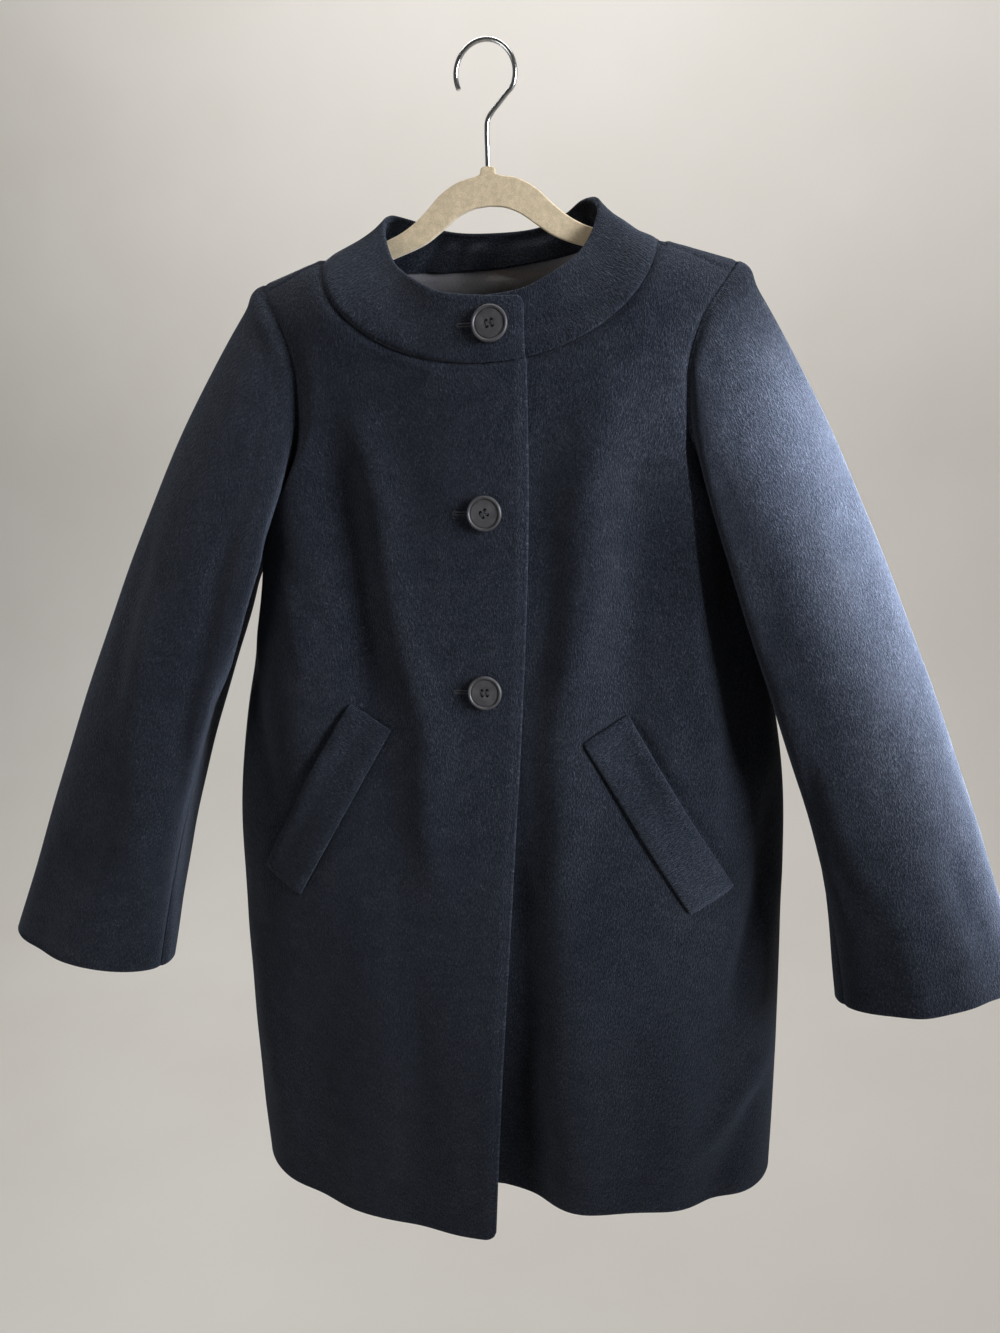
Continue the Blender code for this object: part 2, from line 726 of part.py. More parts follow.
def add_button(button, frame, surface, collection, cutters):
    """Turned button with a raised rim and four holes."""
    radius = BUTTON_RADIUS
    height = BUTTON_HEIGHT
    profile = (
        (0.0, 0.62 * height),
        (0.62 * radius, 0.62 * height),
        (0.70 * radius, 0.80 * height),
        (0.80 * radius, height),
        (0.92 * radius, 0.92 * height),
        (radius, 0.60 * height),
        (0.94 * radius, 0.15 * height),
        (0.80 * radius, 0.0),
        (0.0, 0.0),
    )
    mesh = bmesh.new()
    corners = [mesh.verts.new((x, 0.0, z)) for x, z in profile]
    for start, end in zip(corners, corners[1:]):
        mesh.edges.new((start, end))
    data = bpy.data.meshes.new(button.name)
    mesh.to_mesh(data)
    mesh.free()
    made = add_object(button.name, data, surface, collection)
    made.matrix_world = frame
    spin = made.modifiers.new("turned", "SCREW")
    spin.steps = 24
    spin.render_steps = 24
    spin.use_merge_vertices = True
    spin.merge_threshold = 0.00001
    spin.use_normal_calculate = True
    holes = bmesh.new()
    for corner in range(4):
        angle = math.pi / 4.0 + corner * math.pi / 2.0
        place = Matrix.Translation((
            BUTTON_HOLE_REACH * math.cos(angle),
            BUTTON_HOLE_REACH * math.sin(angle),
            0.3 * height,
        ))
        bmesh.ops.create_cone(
            holes,
            cap_ends=True,
            segments=8,
            radius1=BUTTON_HOLE_RADIUS,
            radius2=BUTTON_HOLE_RADIUS,
            depth=2.0 * height,
            matrix=place,
        )
    hole_data = bpy.data.meshes.new(button.name + "_holes")
    holes.to_mesh(hole_data)
    holes.free()
    cutter = bpy.data.objects.new(button.name + "_holes", hole_data)
    cutter.matrix_world = frame
    cutter.hide_render = True
    cutter.display_type = "WIRE"
    cutters.objects.link(cutter)
    cut = made.modifiers.new("holes", "BOOLEAN")
    cut.operation = "DIFFERENCE"
    cut.object = cutter


def bar_outline():
    """Outline of the hanger's bar in its own plane, all the way round."""
    across = np.linspace(NUB_HALF + 0.004, BAR[-1].across, 13)
    top = list(zip(across, column_at(BAR, "top", across)))
    bottom = list(zip(across, column_at(BAR, "bottom", across)))
    seam_inside = shoulder_drop(BAR_END) + CLOTH * math.hypot(1.0, SHOULDER_SLOPE)
    middle = -seam_inside - BAR_GAP - BAR_END_HALF
    for angle in np.linspace(75.0, -75.0, 6):
        place = math.radians(angle)
        top.append((BAR_END - 0.006 + 0.006 * math.cos(place), middle + BAR_END_HALF * math.sin(place)))
    nub = [(0.0035, NUB_TOP), (NUB_HALF - 0.0008, NUB_TOP - 0.0012), (NUB_HALF, BAR[0].top + 0.0008)]
    half = nub + top + bottom[::-1]
    return half + [(0.0, BAR[0].bottom)] + [(-x, z) for x, z in half[::-1]]


def add_bar(surface, collection):
    """Slim flat bar of the hanger."""
    curve = bpy.data.curves.new("hanger_bar", "CURVE")
    curve.dimensions = "2D"
    curve.fill_mode = "BOTH"
    curve.extrude = HANGER_THICK / 2.0 - HANGER_ROUND
    curve.bevel_depth = HANGER_ROUND
    curve.bevel_resolution = 1
    curve.offset = -HANGER_ROUND
    outline = bar_outline()
    line = curve.splines.new("POLY")
    line.points.add(len(outline) - 1)
    for point, (x, z) in zip(line.points, outline):
        point.co = (x, z, 0.0, 1.0)
    line.use_cyclic_u = True
    made = add_object("hanger_bar", curve, surface, collection)
    made.matrix_world = Matrix.Translation((0.0, 0.0, SHOULDER_Z)) @ Matrix.Rotation(math.pi / 2.0, 4, "X")


def add_hook(surface, collection):
    """Wire hook: stem, slanting neck and a round bow that ends in front of its mouth."""
    centre = -HOOK_RADIUS + WIRE_RADIUS
    foot = SHOULDER_Z + NUB_TOP + SEAM_GAP
    slant_end = math.radians(-24.0)
    path = [(0.0, foot), (0.0, foot + 0.012), (0.0, foot + 0.024), (0.0008, foot + 0.0315)]
    joint = (HOOK_RADIUS * math.cos(slant_end), centre + HOOK_RADIUS * math.sin(slant_end))
    for share in (0.14, 0.42, 0.72):
        path.append((0.0014 + (joint[0] - 0.0014) * share, foot + 0.034 + (joint[1] - foot - 0.034) * share))
    for angle in np.linspace(slant_end, math.radians(204.0), 20):
        path.append((HOOK_RADIUS * math.cos(angle), centre + HOOK_RADIUS * math.sin(angle)))
    curve = bpy.data.curves.new("hanger_hook", "CURVE")
    curve.dimensions = "3D"
    curve.bevel_depth = WIRE_RADIUS
    curve.bevel_resolution = 2
    curve.use_fill_caps = True
    line = curve.splines.new("POLY")
    line.points.add(len(path) - 1)
    for point, (x, z) in zip(line.points, path):
        point.co = (x, 0.0, z, 1.0)
    add_object("hanger_hook", curve, surface, collection)


def build():
    """Make every piece of the coat and its hanger."""
    clear_scene()
    coat = new_collection(COAT_NAME)
    cutters = new_collection(COAT_NAME + "_cutters")
    wool = [0.012, 0.014, 0.020]
    cloth = {name: material(name + "_wool", wool, 0.95) for name in
             ("front_right", "front_right_side", "front_left", "front_left_side", "back", "collar",
              "collar_facing", "sleeve_right", "sleeve_left", "welt_right", "welt_left")}
    lining = material("lining_satin", (0.16, 0.12, 0.10), 0.45)
    horn = material("button_horn", (0.030, 0.026, 0.024), 0.35)
    flock = material("hanger_flock", (0.62, 0.52, 0.42), 0.95)
    steel = material("hook_steel", (0.75, 0.75, 0.74), 0.18, 1.0)

    right = panel_grid("front_right", right_edge, HEM_DROP_RIGHT, HEM_SAG_RIGHT, FRONT_COLUMNS)
    left = panel_grid("front_left", left_edge, HEM_DROP_LEFT, HEM_SAG_LEFT, FRONT_COLUMNS)
    add_front("front_right", right, cloth, coat)
    add_front("front_left", left, cloth, coat, flip=True)
    halves = back_halves()
    add_halves("back", halves, CLOTH, cloth["back"], coat)
    add_halves("back_lining", lining_halves(halves), LINING_CLOTH, lining, coat)

    band = band_grid()
    add_cloth("collar", band, BAND_CLOTH, cloth["collar"], coat, flip=True)
    inner_band = band - grid_normals(band) * (BAND_CLOTH + FACING_GAP)
    add_cloth("collar_facing", inner_band, FACING_CLOTH, cloth["collar_facing"], coat, flip=True)

    for name, cuff in CUFFS.items():
        add_cloth(name, sleeve_grid(cuff), CLOTH, cloth[name], coat, closed=True, flip=cuff.side < 0)
    for name, panel, drop in (("welt_right", "front_right", WELT_DROP_RIGHT),
                              ("welt_left", "front_left", WELT_DROP_LEFT)):
        welt = welt_grid(panel, drop)
        add_cloth(name, welt, WELT_CLOTH, cloth[name], coat, flip=panel == "front_right")

    for button in BUTTONS:
        on_band = button.drop < NECK_SCOOP_FRONT + shoulder_drop(NECK_HALF)
        under = bpy.data.objects["collar" if on_band else "front_right"]
        frame = settled(button_frame(button, on_band), under.data)
        add_button(button, frame, horn, coat, cutters)
    add_bar(flock, coat)
    add_hook(steel, coat)


build()
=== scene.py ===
"""Looks of a cocoon coat on a slim hanger: cloth with its creases, seams, buttons, hanger, light, camera.

Metres, +Z up. The coat's front faces -Y and the wearer's left side is +X.
The origin is the inside top of the hook, where a rod holds it.
Heights on the coat are drops: how far a point lies below the shoulder points.
"""

import math
from collections import namedtuple

import bmesh
import bpy
import numpy as np
from mathutils import Matrix, Vector
from mathutils.bvhtree import BVHTree

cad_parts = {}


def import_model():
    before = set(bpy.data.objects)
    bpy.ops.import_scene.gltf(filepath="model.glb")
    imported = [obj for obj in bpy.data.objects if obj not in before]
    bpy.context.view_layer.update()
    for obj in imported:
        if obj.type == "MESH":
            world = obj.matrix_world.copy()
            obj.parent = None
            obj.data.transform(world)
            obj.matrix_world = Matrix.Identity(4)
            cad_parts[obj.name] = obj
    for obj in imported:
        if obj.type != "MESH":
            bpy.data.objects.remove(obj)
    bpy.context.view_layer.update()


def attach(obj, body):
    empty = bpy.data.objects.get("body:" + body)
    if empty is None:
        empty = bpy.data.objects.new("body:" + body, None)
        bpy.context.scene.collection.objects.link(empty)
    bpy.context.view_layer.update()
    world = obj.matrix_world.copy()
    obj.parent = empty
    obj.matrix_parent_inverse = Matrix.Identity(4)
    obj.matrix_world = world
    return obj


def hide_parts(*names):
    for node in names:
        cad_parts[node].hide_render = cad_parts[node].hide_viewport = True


# Driving dimensions of the coat
SHOULDER_Z = -0.161
SHOULDER_HALF = 0.190
SHOULDER_SLOPE = math.tan(math.radians(17.2))
SHOULDER_ROLL = 0.055
UNDERARM_DROP = 0.200
HEM_DROP = {"front_right": 0.846, "front_left": 0.830, "back": 0.842}
HEM_SAG = {"front_right": 0.008, "front_left": -0.007, "back": 0.0}
HEM_DROP_SIDE = 0.838
HANG_TWIST = 0.080
HANG_TWIST_END = 0.60

# Each panel's side of the middle, and the way it faces
SIDE = {"front_right": -1.0, "front_left": 1.0, "back": 1.0}
FACE = {"front_right": -1.0, "front_left": -1.0, "back": 1.0}

CLOTH = 0.0024
BAND_CLOTH = 0.0020
FACING_CLOTH = 0.0012
LINING_CLOTH = 0.0010
LINING_GAP = 0.0008
LINING_STEP = 0.0020
LINING_LAP = 0.0080
SEAM_GAP = 0.0003
ARMHOLE_GAP = 0.0001
FACING_GAP = 0.0006
SEAM_STRIP = 0.0025
LAP = 0.0060
LAP_SHARE = {"front_right": 0.5, "front_left": -0.5, "back": 0.0}
LAP_FULL = 0.030
LAP_END = 0.085
UNDERLAP = 0.028

NECK_HALF = 0.132
NECK_SCOOP_FRONT = 0.087
NECK_SCOOP_BACK = 0.024

WELT_LENGTH = 0.177
WELT_WIDTH = 0.040
WELT_CLOTH = 0.0030
WELT_GAP = 0.0006
WELT_TILT = math.radians(30.0)
WELT_ACROSS = 0.143
WELT_DROP = {"front_right": 0.4270, "front_left": 0.4325}

BUTTON_RADIUS = 0.014
BUTTON_HEIGHT = 0.0042
BUTTON_HOLE_RADIUS = 0.00140
BUTTON_HOLE_REACH = 0.0029
BUTTON_BAND_SHARE = 0.55

HANGER_THICK = 0.0050
HANGER_ROUND = 0.0010
NUB_HALF = 0.0062
NUB_TOP = 0.0765
NUB_GAP = 0.004
WIRE_RADIUS = 0.0019
HOOK_RADIUS = 0.0228
HOOK_START = math.radians(-24.0)
HOOK_END = math.radians(204.0)

# Sizes that only the looks need
EDGE_CLOTH = 0.0046
EDGE_CLOTH_FULL = 0.003
EDGE_CLOTH_END = 0.018
HEM_CLOTH = 0.0038
BAND_EDGE_CLOTH = 0.0046
BAND_EDGE_FULL = 0.0015
BAND_EDGE_END = 0.0055
BAND_CORNER = 0.006
BAND_LEAVE = 0.35
BAND_ARRIVE = 0.20
BAND_LEAN = 0.0035
BAND_LEAN_TURN = 122.0
BAND_LEAN_WIDTH = 25.0
BAND_UNEVEN_FADE = 0.01
EDGE_ROLL = 0.0017
EDGE_ROLL_WIDTH = 0.0090
HEM_TURN_UP = 0.036
HEM_STEP = 0.003
HEM_CORNER = 0.006
HEM_CORNER_REACH = 0.030
SEAM_DIP = 0.0009
SEAM_DIP_WIDTH = 0.0028
SEAM_SWELL = 0.9
FOLD_PAST_HEM = 0.10
FOLD_HEM_SHARE = 0.92
CREASE_START = 0.25
CREASE_END = 0.70
CREASE_WANDER = 0.0025
SIDE_FADE = 0.024
SHOULDER_FADE = 0.020
NECK_FADE = 0.014
ARMHOLE_FADE = 0.018
SLEEVE_SEAM_FADE = 0.012
ARMHOLE_INSIDE_DROP = 1.3 * UNDERARM_DROP
ARMHOLE_LOW_START = 0.40
ARMHOLE_LOW_END = 0.65
SLEEVE_SEAM_TURN = math.radians(158.0)
SLEEVE_HEAD_ROLL = 0.0030
SLEEVE_HEAD_REACH = 0.012
SLEEVE_HEAD_WIDTH = 0.009
SLEEVE_HEAD_START = 0.007
SEWN_LINE_NECK = 0.0035
SEWN_LINE_SLEEVE = 0.0095
SEWN_LINE_DIP = 0.0016
SEWN_LINE_WIDTH = 0.0010
SEWN_LINE_SIDE_END = 0.006
SEWN_LINE_NECK_END = 0.004
PUCKER = 0.00028
PUCKER_PITCH = 0.0085
PUCKER_WIDTH = 0.004
PUCKER_WAVER = 0.9
PUCKER_WAVER_RATE = 190.0
WELT_GROOVE = 0.0012
WELT_GROOVE_WIDTH = 0.0042
WELT_MOUTH = 0.0024
WELT_MOUTH_GROOVE = 1.3
WELT_MOUTH_SHIFT = 0.002
WELT_MOUTH_WIDTH = 0.006
WELT_MOUTH_FADE = 0.020
WELT_MOUTH_START = 0.05
WELT_MOUTH_FULLNESS = 0.6
WELT_ROUNDING = 0.0013
WELT_ROUNDING_WIDTH = 0.0030
FACING_LOW = 0.27
FACING_SLANT = 2.2
FACING_EDGE = 0.09
FACING_RISE_START = math.radians(95.0)
FACING_RISE_END = math.radians(125.0)
FACING_RIPPLE = 0.0018
FACING_RIPPLE_FADE = 0.012
LINING_RIPPLE = 0.0012
LINING_EASE = 0.0045
LINING_EASE_END = 0.06
LINING_HEM_EASE = 0.002
LINING_HEM_EASE_END = 0.10
LINING_STEP_END = 0.012
LINING_STRIP_TURN = math.radians(100.0)
LINING_STRIP_LAP = 0.04
BUTTONHOLE_REACH = 0.025
BUTTONHOLE_HALF = 0.0010
BUTTONHOLE_BEAD = 0.00055
BUTTONHOLE_BEADING = 0.22
BUTTONHOLE_LIFT = 0.0002
BUTTON_SHARP = math.radians(40.0)
BUTTON_DRILL = 3.0 * BUTTON_HEIGHT
BUTTON_THREAD = 0.00030
THREAD_FOOT = 0.40
THREAD_ARCH = 0.46
SEAT_STEP = 0.004
SEAT_STEP_SHARE = 0.10
SEAT_REACHES = (0.0, 0.45, 0.85)

# Cross-sections of the coat's body: drop, half width at the side seams,
# depth of the front and of the back, and how square the section is.
Section = namedtuple("Section", "drop half_width front_depth back_depth square")
BODY = (
    Section(-0.060, 0.205, 0.044, 0.038, 2.4),
    Section(0.040, 0.205, 0.050, 0.043, 2.4),
    Section(0.120, 0.203, 0.054, 0.047, 2.5),
    Section(0.200, 0.205, 0.058, 0.051, 2.6),
    Section(0.300, 0.225, 0.069, 0.057, 2.9),
    Section(0.420, 0.246, 0.083, 0.064, 3.2),
    Section(0.560, 0.252, 0.092, 0.069, 3.2),
    Section(0.720, 0.255, 0.096, 0.072, 3.0),
    Section(0.860, 0.255, 0.096, 0.073, 2.9),
)

# The armholes, from the shoulder point down to the underarm: the place
# round the section in degrees from its middle, and the drop.
Armhole = namedtuple("Armhole", "share front_turn back_turn drop")
ARMHOLE = (
    Armhole(0.00, 66.0, 66.0, 0.000),
    Armhole(0.25, 51.0, 58.0, 0.040),
    Armhole(0.50, 46.0, 55.0, 0.088),
    Armhole(0.75, 52.0, 59.0, 0.146),
    Armhole(0.90, 69.0, 72.0, 0.187),
    Armhole(1.00, 90.0, 90.0, UNDERARM_DROP),
)

# The front edge of the lapping panel: how far it passes the middle.
Edge = namedtuple("Edge", "drop reach")
FRONT_EDGE = (
    Edge(0.00, 0.034),
    Edge(0.17, 0.035),
    Edge(0.33, 0.030),
    Edge(0.51, 0.020),
    Edge(0.70, 0.008),
    Edge(0.86, -0.001),
)

# Large folds, panel by panel: where each lies across at its top and at the
# hem, how wide it is, where it starts, and how far it stands out at the hem.
Fold = namedtuple("Fold", "across_top across_hem width drop_top depth")
FOLDS = {
    "front_right": (
        Fold(-0.030, -0.020, 0.075, 0.36, 0.016),
        Fold(0.155, 0.185, 0.030, 0.46, -0.005),
    ),
    "front_left": (
        Fold(-0.005, -0.010, 0.050, 0.36, -0.030),
        Fold(0.085, 0.095, 0.038, 0.40, 0.003),
        Fold(0.190, 0.205, 0.022, 0.44, -0.008),
    ),
    "back": (
        Fold(-0.105, -0.125, 0.034, 0.30, -0.012),
        Fold(0.000, 0.005, 0.042, 0.36, 0.007),
        Fold(0.110, 0.120, 0.036, 0.26, -0.010),
    ),
}

# Creases, panel by panel. On the body their paths give the distance across and
# the drop; on the sleeves degrees round from the outer line and the share of
# the length. Then how wide each is and how far it stands out.
Crease = namedtuple("Crease", "path width depth")
CREASES = {
    "front_right": (
        Crease(((0.168, 0.02), (0.170, 0.20), (0.164, 0.46)), 0.036, 0.0125),
        Crease(((0.138, 0.10), (0.120, 0.17), (0.106, 0.22), (0.100, 0.38)), 0.017, -0.0070),
        Crease(((0.108, 0.06), (0.084, 0.20), (0.066, 0.29), (0.049, 0.37), (0.045, 0.54)), 0.017, 0.0066),
        Crease(((0.185, 0.185), (0.158, 0.25), (0.132, 0.32)), 0.013, -0.0018),
        Crease(((0.192, 0.225), (0.172, 0.30), (0.160, 0.35)), 0.012, -0.0014),
        Crease(((0.098, 0.50), (0.104, 0.68), (0.112, 0.88)), 0.026, 0.0018),
        Crease(((0.064, 0.54), (0.066, 0.72), (0.072, 0.90)), 0.021, -0.0016),
        Crease(((0.163, 0.52), (0.170, 0.70), (0.177, 0.90)), 0.024, -0.0020),
        Crease(((0.228, 0.55), (0.222, 0.66), (0.213, 0.79)), 0.014, 0.0032),
        Crease(((0.232, 0.29), (0.205, 0.37), (0.196, 0.46)), 0.012, -0.0030),
    ),
    "front_left": (
        Crease(((0.104, 0.04), (0.082, 0.22), (0.064, 0.36), (0.060, 0.60)), 0.019, 0.0068),
        Crease(((0.048, 0.09), (0.044, 0.24), (0.046, 0.38)), 0.016, -0.0026),
        Crease(((0.134, 0.06), (0.118, 0.22), (0.120, 0.36), (0.126, 0.46)), 0.024, -0.0080),
        Crease(((0.166, 0.10), (0.164, 0.22), (0.180, 0.34), (0.196, 0.46)), 0.016, 0.0072),
        Crease(((0.178, 0.17), (0.196, 0.28), (0.208, 0.42)), 0.019, -0.0062),
        Crease(((0.244, 0.39), (0.226, 0.52), (0.210, 0.66)), 0.010, -0.0060),
        Crease(((0.240, 0.47), (0.241, 0.56), (0.236, 0.66)), 0.010, 0.0030),
        Crease(((0.244, 0.67), (0.215, 0.73), (0.180, 0.79)), 0.014, 0.0040),
        Crease(((0.242, 0.71), (0.222, 0.77), (0.202, 0.83)), 0.013, -0.0040),
        Crease(((0.020, 0.38), (0.028, 0.56), (0.034, 0.92)), 0.020, -0.0062),
        Crease(((0.060, 0.52), (0.066, 0.70), (0.077, 0.88)), 0.027, 0.0034),
        Crease(((0.118, 0.56), (0.121, 0.72), (0.127, 0.88)), 0.033, -0.0026),
        Crease(((0.158, 0.60), (0.164, 0.74), (0.160, 0.88)), 0.022, 0.0020),
    ),
    "back": (
        Crease(((-0.178, 0.17), (-0.140, 0.25), (-0.098, 0.31)), 0.012, -0.0036),
        Crease(((-0.192, 0.22), (-0.168, 0.31), (-0.150, 0.38)), 0.011, -0.0030),
        Crease(((0.180, 0.18), (0.150, 0.27), (0.128, 0.38)), 0.013, -0.0042),
        Crease(((0.196, 0.24), (0.182, 0.33), (0.178, 0.44)), 0.010, -0.0028),
        Crease(((-0.060, 0.03), (-0.066, 0.18), (-0.052, 0.36)), 0.022, 0.0036),
        Crease(((0.058, 0.02), (0.072, 0.20), (0.064, 0.44)), 0.025, 0.0042),
        Crease(((0.012, 0.06), (0.006, 0.22), (0.018, 0.40)), 0.020, -0.0034),
        Crease(((-0.128, 0.14), (-0.116, 0.30), (-0.122, 0.50)), 0.018, -0.0034),
        Crease(((-0.178, 0.40), (-0.190, 0.58), (-0.184, 0.88)), 0.024, 0.0046),
        Crease(((-0.046, 0.44), (-0.052, 0.64), (-0.060, 0.90)), 0.022, -0.0050),
        Crease(((0.062, 0.50), (0.066, 0.70), (0.058, 0.90)), 0.021, -0.0044),
        Crease(((0.168, 0.46), (0.176, 0.66), (0.170, 0.90)), 0.023, 0.0050),
        Crease(((0.226, 0.52), (0.218, 0.68), (0.222, 0.88)), 0.014, -0.0036),
    ),
    "sleeve_right": (
        Crease(((82.0, 0.10), (89.0, 0.24), (106.0, 0.46), (142.0, 0.70)), 0.017, -0.0058),
        Crease(((50.0, 0.36), (66.0, 0.50), (98.0, 0.68), (114.0, 0.86)), 0.019, 0.0052),
        Crease(((126.0, 0.12), (134.0, 0.26), (150.0, 0.42)), 0.014, 0.0040),
        Crease(((24.0, 0.30), (36.0, 0.46), (62.0, 0.60)), 0.014, -0.0036),
        Crease(((66.0, 0.76), (58.0, 0.88), (54.0, 1.10)), 0.017, -0.0044),
        Crease(((210.0, 0.10), (236.0, 0.32), (250.0, 0.56)), 0.016, -0.0046),
        Crease(((250.0, 0.20), (276.0, 0.46), (268.0, 0.80)), 0.021, 0.0046),
        Crease(((300.0, 0.34), (312.0, 0.56), (290.0, 0.86)), 0.017, -0.0040),
    ),
    "sleeve_left": (
        Crease(((94.0, 0.06), (101.0, 0.20), (111.0, 0.50)), 0.022, -0.0012),
        Crease(((66.0, 0.12), (72.0, 0.32), (82.0, 0.66)), 0.020, 0.0036),
        Crease(((92.0, 0.76), (96.0, 0.88), (95.0, 1.10)), 0.015, 0.0042),
        Crease(((48.0, 0.72), (51.0, 0.88), (52.0, 1.10)), 0.015, -0.0046),
        Crease(((122.0, 0.50), (128.0, 0.66), (120.0, 0.86)), 0.014, -0.0036),
        Crease(((26.0, 0.26), (34.0, 0.44), (30.0, 0.64)), 0.018, -0.0034),
        Crease(((214.0, 0.10), (232.0, 0.30), (246.0, 0.50)), 0.015, -0.0046),
        Crease(((262.0, 0.22), (272.0, 0.50), (258.0, 0.82)), 0.020, 0.0046),
        Crease(((306.0, 0.30), (316.0, 0.52), (300.0, 0.84)), 0.016, -0.0040),
    ),
}

# Waves in the cloth: radians per metre across and down, and where each starts.
# Unevenness is a height and two waves that cross; ripples waver by another wave.
Wave = namedtuple("Wave", "across drop start")
UNEVEN = (
    (0.0006, Wave(31.0, 9.0, 0.7), Wave(-11.0, 13.0, 0.0)),
    (0.00036, Wave(57.0, -23.0, 1.9), Wave(0.0, 37.0, 0.4)),
)
BAND_UNEVEN = (0.0005, Wave(60.0, 0.0, 0.6), Wave(0.0, 70.0, 0.0))
CREASE_WAVER = Wave(21.0, 37.0, 0.0)
LINING_WAVE = Wave(88.0, 5.0, 0.0)
LINING_WAVER = Wave(0.0, 19.0, 0.0)
LINING_WAVER_SHARE = 1.2
FACING_WAVE = Wave(170.0, 22.0, 0.0)
FACING_WAVER = Wave(47.0, 0.0, 0.0)
FACING_WAVER_SHARE = 2.4

# The upper edge of the neck band: degrees round the neck from the middle
# of the front, and the place of the edge there.
NeckEdge = namedtuple("NeckEdge", "turn across back drop")
NECK_EDGE = (
    NeckEdge(-20.0, -0.0450, -0.0462, 0.0225),
    NeckEdge(0.0, 0.0000, -0.0470, 0.0210),
    NeckEdge(15.0, 0.0335, -0.0448, 0.0165),
    NeckEdge(25.0, 0.0485, -0.0405, 0.0095),
    NeckEdge(35.0, 0.0600, -0.0354, 0.0026),
    NeckEdge(50.0, 0.0725, -0.0265, -0.0075),
    NeckEdge(65.0, 0.0800, -0.0165, -0.0195),
    NeckEdge(78.0, 0.0855, -0.0065, -0.0345),
    NeckEdge(88.0, 0.0868, 0.0015, -0.0440),
    NeckEdge(98.0, 0.0845, 0.0105, -0.0490),
    NeckEdge(110.0, 0.0790, 0.0205, -0.0505),
    NeckEdge(122.0, 0.0705, 0.0300, -0.0490),
    NeckEdge(137.0, 0.0580, 0.0390, -0.0430),
    NeckEdge(155.0, 0.0370, 0.0460, -0.0365),
    NeckEdge(180.0, 0.0000, 0.0490, -0.0340),
    NeckEdge(205.0, -0.0370, 0.0460, -0.0365),
)

# Each sleeve's cuff: side, middle, half width, half depth, how far its outer
# end is raised and its front lowered, and how much the sleeve above it swells.
Cuff = namedtuple("Cuff", "side across back drop half_width half_depth raised lowered swell")
CUFFS = {
    "sleeve_right": Cuff(-1, 0.389, -0.080, 0.585, 0.078, 0.038, 0.014, 0.005, 1.0),
    "sleeve_left": Cuff(1, 0.366, -0.054, 0.578, 0.0725, 0.037, 0.017, 0.002, 0.8),
}

# Lengths round and along a sleeve on which its creases are laid out
SLEEVE_ROUND = 0.40
SLEEVE_LONG = 0.57

# How the sleeve swells between armhole and cuff: degrees round it from its
# outer line by way of the front, and the swelling outwards, back and up.
Swell = namedtuple("Swell", "turn outward backward upward")
SLEEVE_TOP_SWELL = (
    Swell(0.0, 0.095, 0.000, 0.090),
    Swell(45.0, 0.060, -0.090, 0.060),
    Swell(90.0, -0.020, -0.150, 0.000),
    Swell(135.0, -0.060, -0.150, 0.000),
    Swell(165.0, 0.020, -0.080, 0.000),
    Swell(180.0, 0.070, -0.020, 0.000),
    Swell(200.0, 0.075, 0.030, 0.000),
    Swell(235.0, 0.040, 0.090, 0.000),
    Swell(270.0, 0.020, 0.110, 0.000),
    Swell(315.0, 0.060, 0.070, 0.060),
    Swell(360.0, 0.095, 0.000, 0.090),
)
SLEEVE_END_SWELL = -0.045

# Outline of the hanger's bar: distance from its middle, top and bottom.
Bar = namedtuple("Bar", "across top bottom")
BAR = (
    Bar(0.0000, 0.0705, 0.0485),
    Bar(0.0100, 0.0698, 0.0476),
    Bar(0.0240, 0.0668, 0.0424),
    Bar(0.0385, 0.0586, 0.0325),
    Bar(0.0500, 0.0480, 0.0250),
    Bar(0.0610, 0.0391, 0.0202),
    Bar(0.0720, 0.0326, 0.0166),
    Bar(0.0845, 0.0276, 0.0126),
)
BAR_END = 0.1860
BAR_GAP = 0.0004
BAR_END_HALF = 0.0065
BAR_TIP = 0.006
BAR_TIP_TURN = 75.0

# Edge of the nub on the bar's middle, from its top down: across and up.
NUB_EDGE = ((0.0035, NUB_TOP), (0.0054, 0.0753), (NUB_HALF, 0.0713))

# Buttons: name, place across, drop, and how far each is turned.
Button = namedtuple("Button", "name across drop turned")
BUTTONS = (
    Button("button_top", 0.009, 0.042, math.radians(10.0)),
    Button("button_middle", 0.002, 0.182, math.radians(30.0)),
    Button("button_bottom", 0.001, 0.325, math.radians(2.0)),
)

# Half outline of a turned button, from the middle of its top to the middle of
# its back: shares of its radius and of its height.
BUTTON_PROFILE = (
    (0.0, 0.76), (0.40, 0.76), (0.72, 0.79), (0.755, 0.77), (0.775, 0.66), (0.80, 0.64),
    (0.82, 0.74), (0.845, 0.90), (0.88, 0.98), (0.92, 1.0), (0.96, 0.93), (0.988, 0.76),
    (1.0, 0.52), (0.985, 0.30), (0.94, 0.13), (0.86, 0.03), (0.78, 0.0), (0.0, 0.0),
)

# Bends of the hook's wire above its foot, across and up, and the shares of the
# slanting way at which it goes on to its bow.
HOOK_BENDS = ((0.0, 0.0), (0.0, 0.012), (0.0, 0.024), (0.0008, 0.0315))
HOOK_SLANT = (0.0014, 0.034)
HOOK_SLANT_SHARES = (0.14, 0.42, 0.72)

# Each woollen piece has its own cloth, whose fibres are turned a little further.
WOOL_PIECES = (
    "front_right", "front_left", "back", "collar", "facing", "sleeve_right", "sleeve_left",
    "welt_right", "welt_left",
)
WOOL_TURN = 0.37
NOISE_ROUGHNESS = 0.6

# Form of a flat cut of cloth: its width, length and area
Cut = namedtuple("Cut", "width length area")

# Stage: a floor that bends up into a wall
STAGE_FLOOR = -1.90
STAGE_FRONT = -4.0
STAGE_BEND_START = 1.6
STAGE_BEND = 1.4
STAGE_TOP = 4.5
STAGE_HALF = 7.0

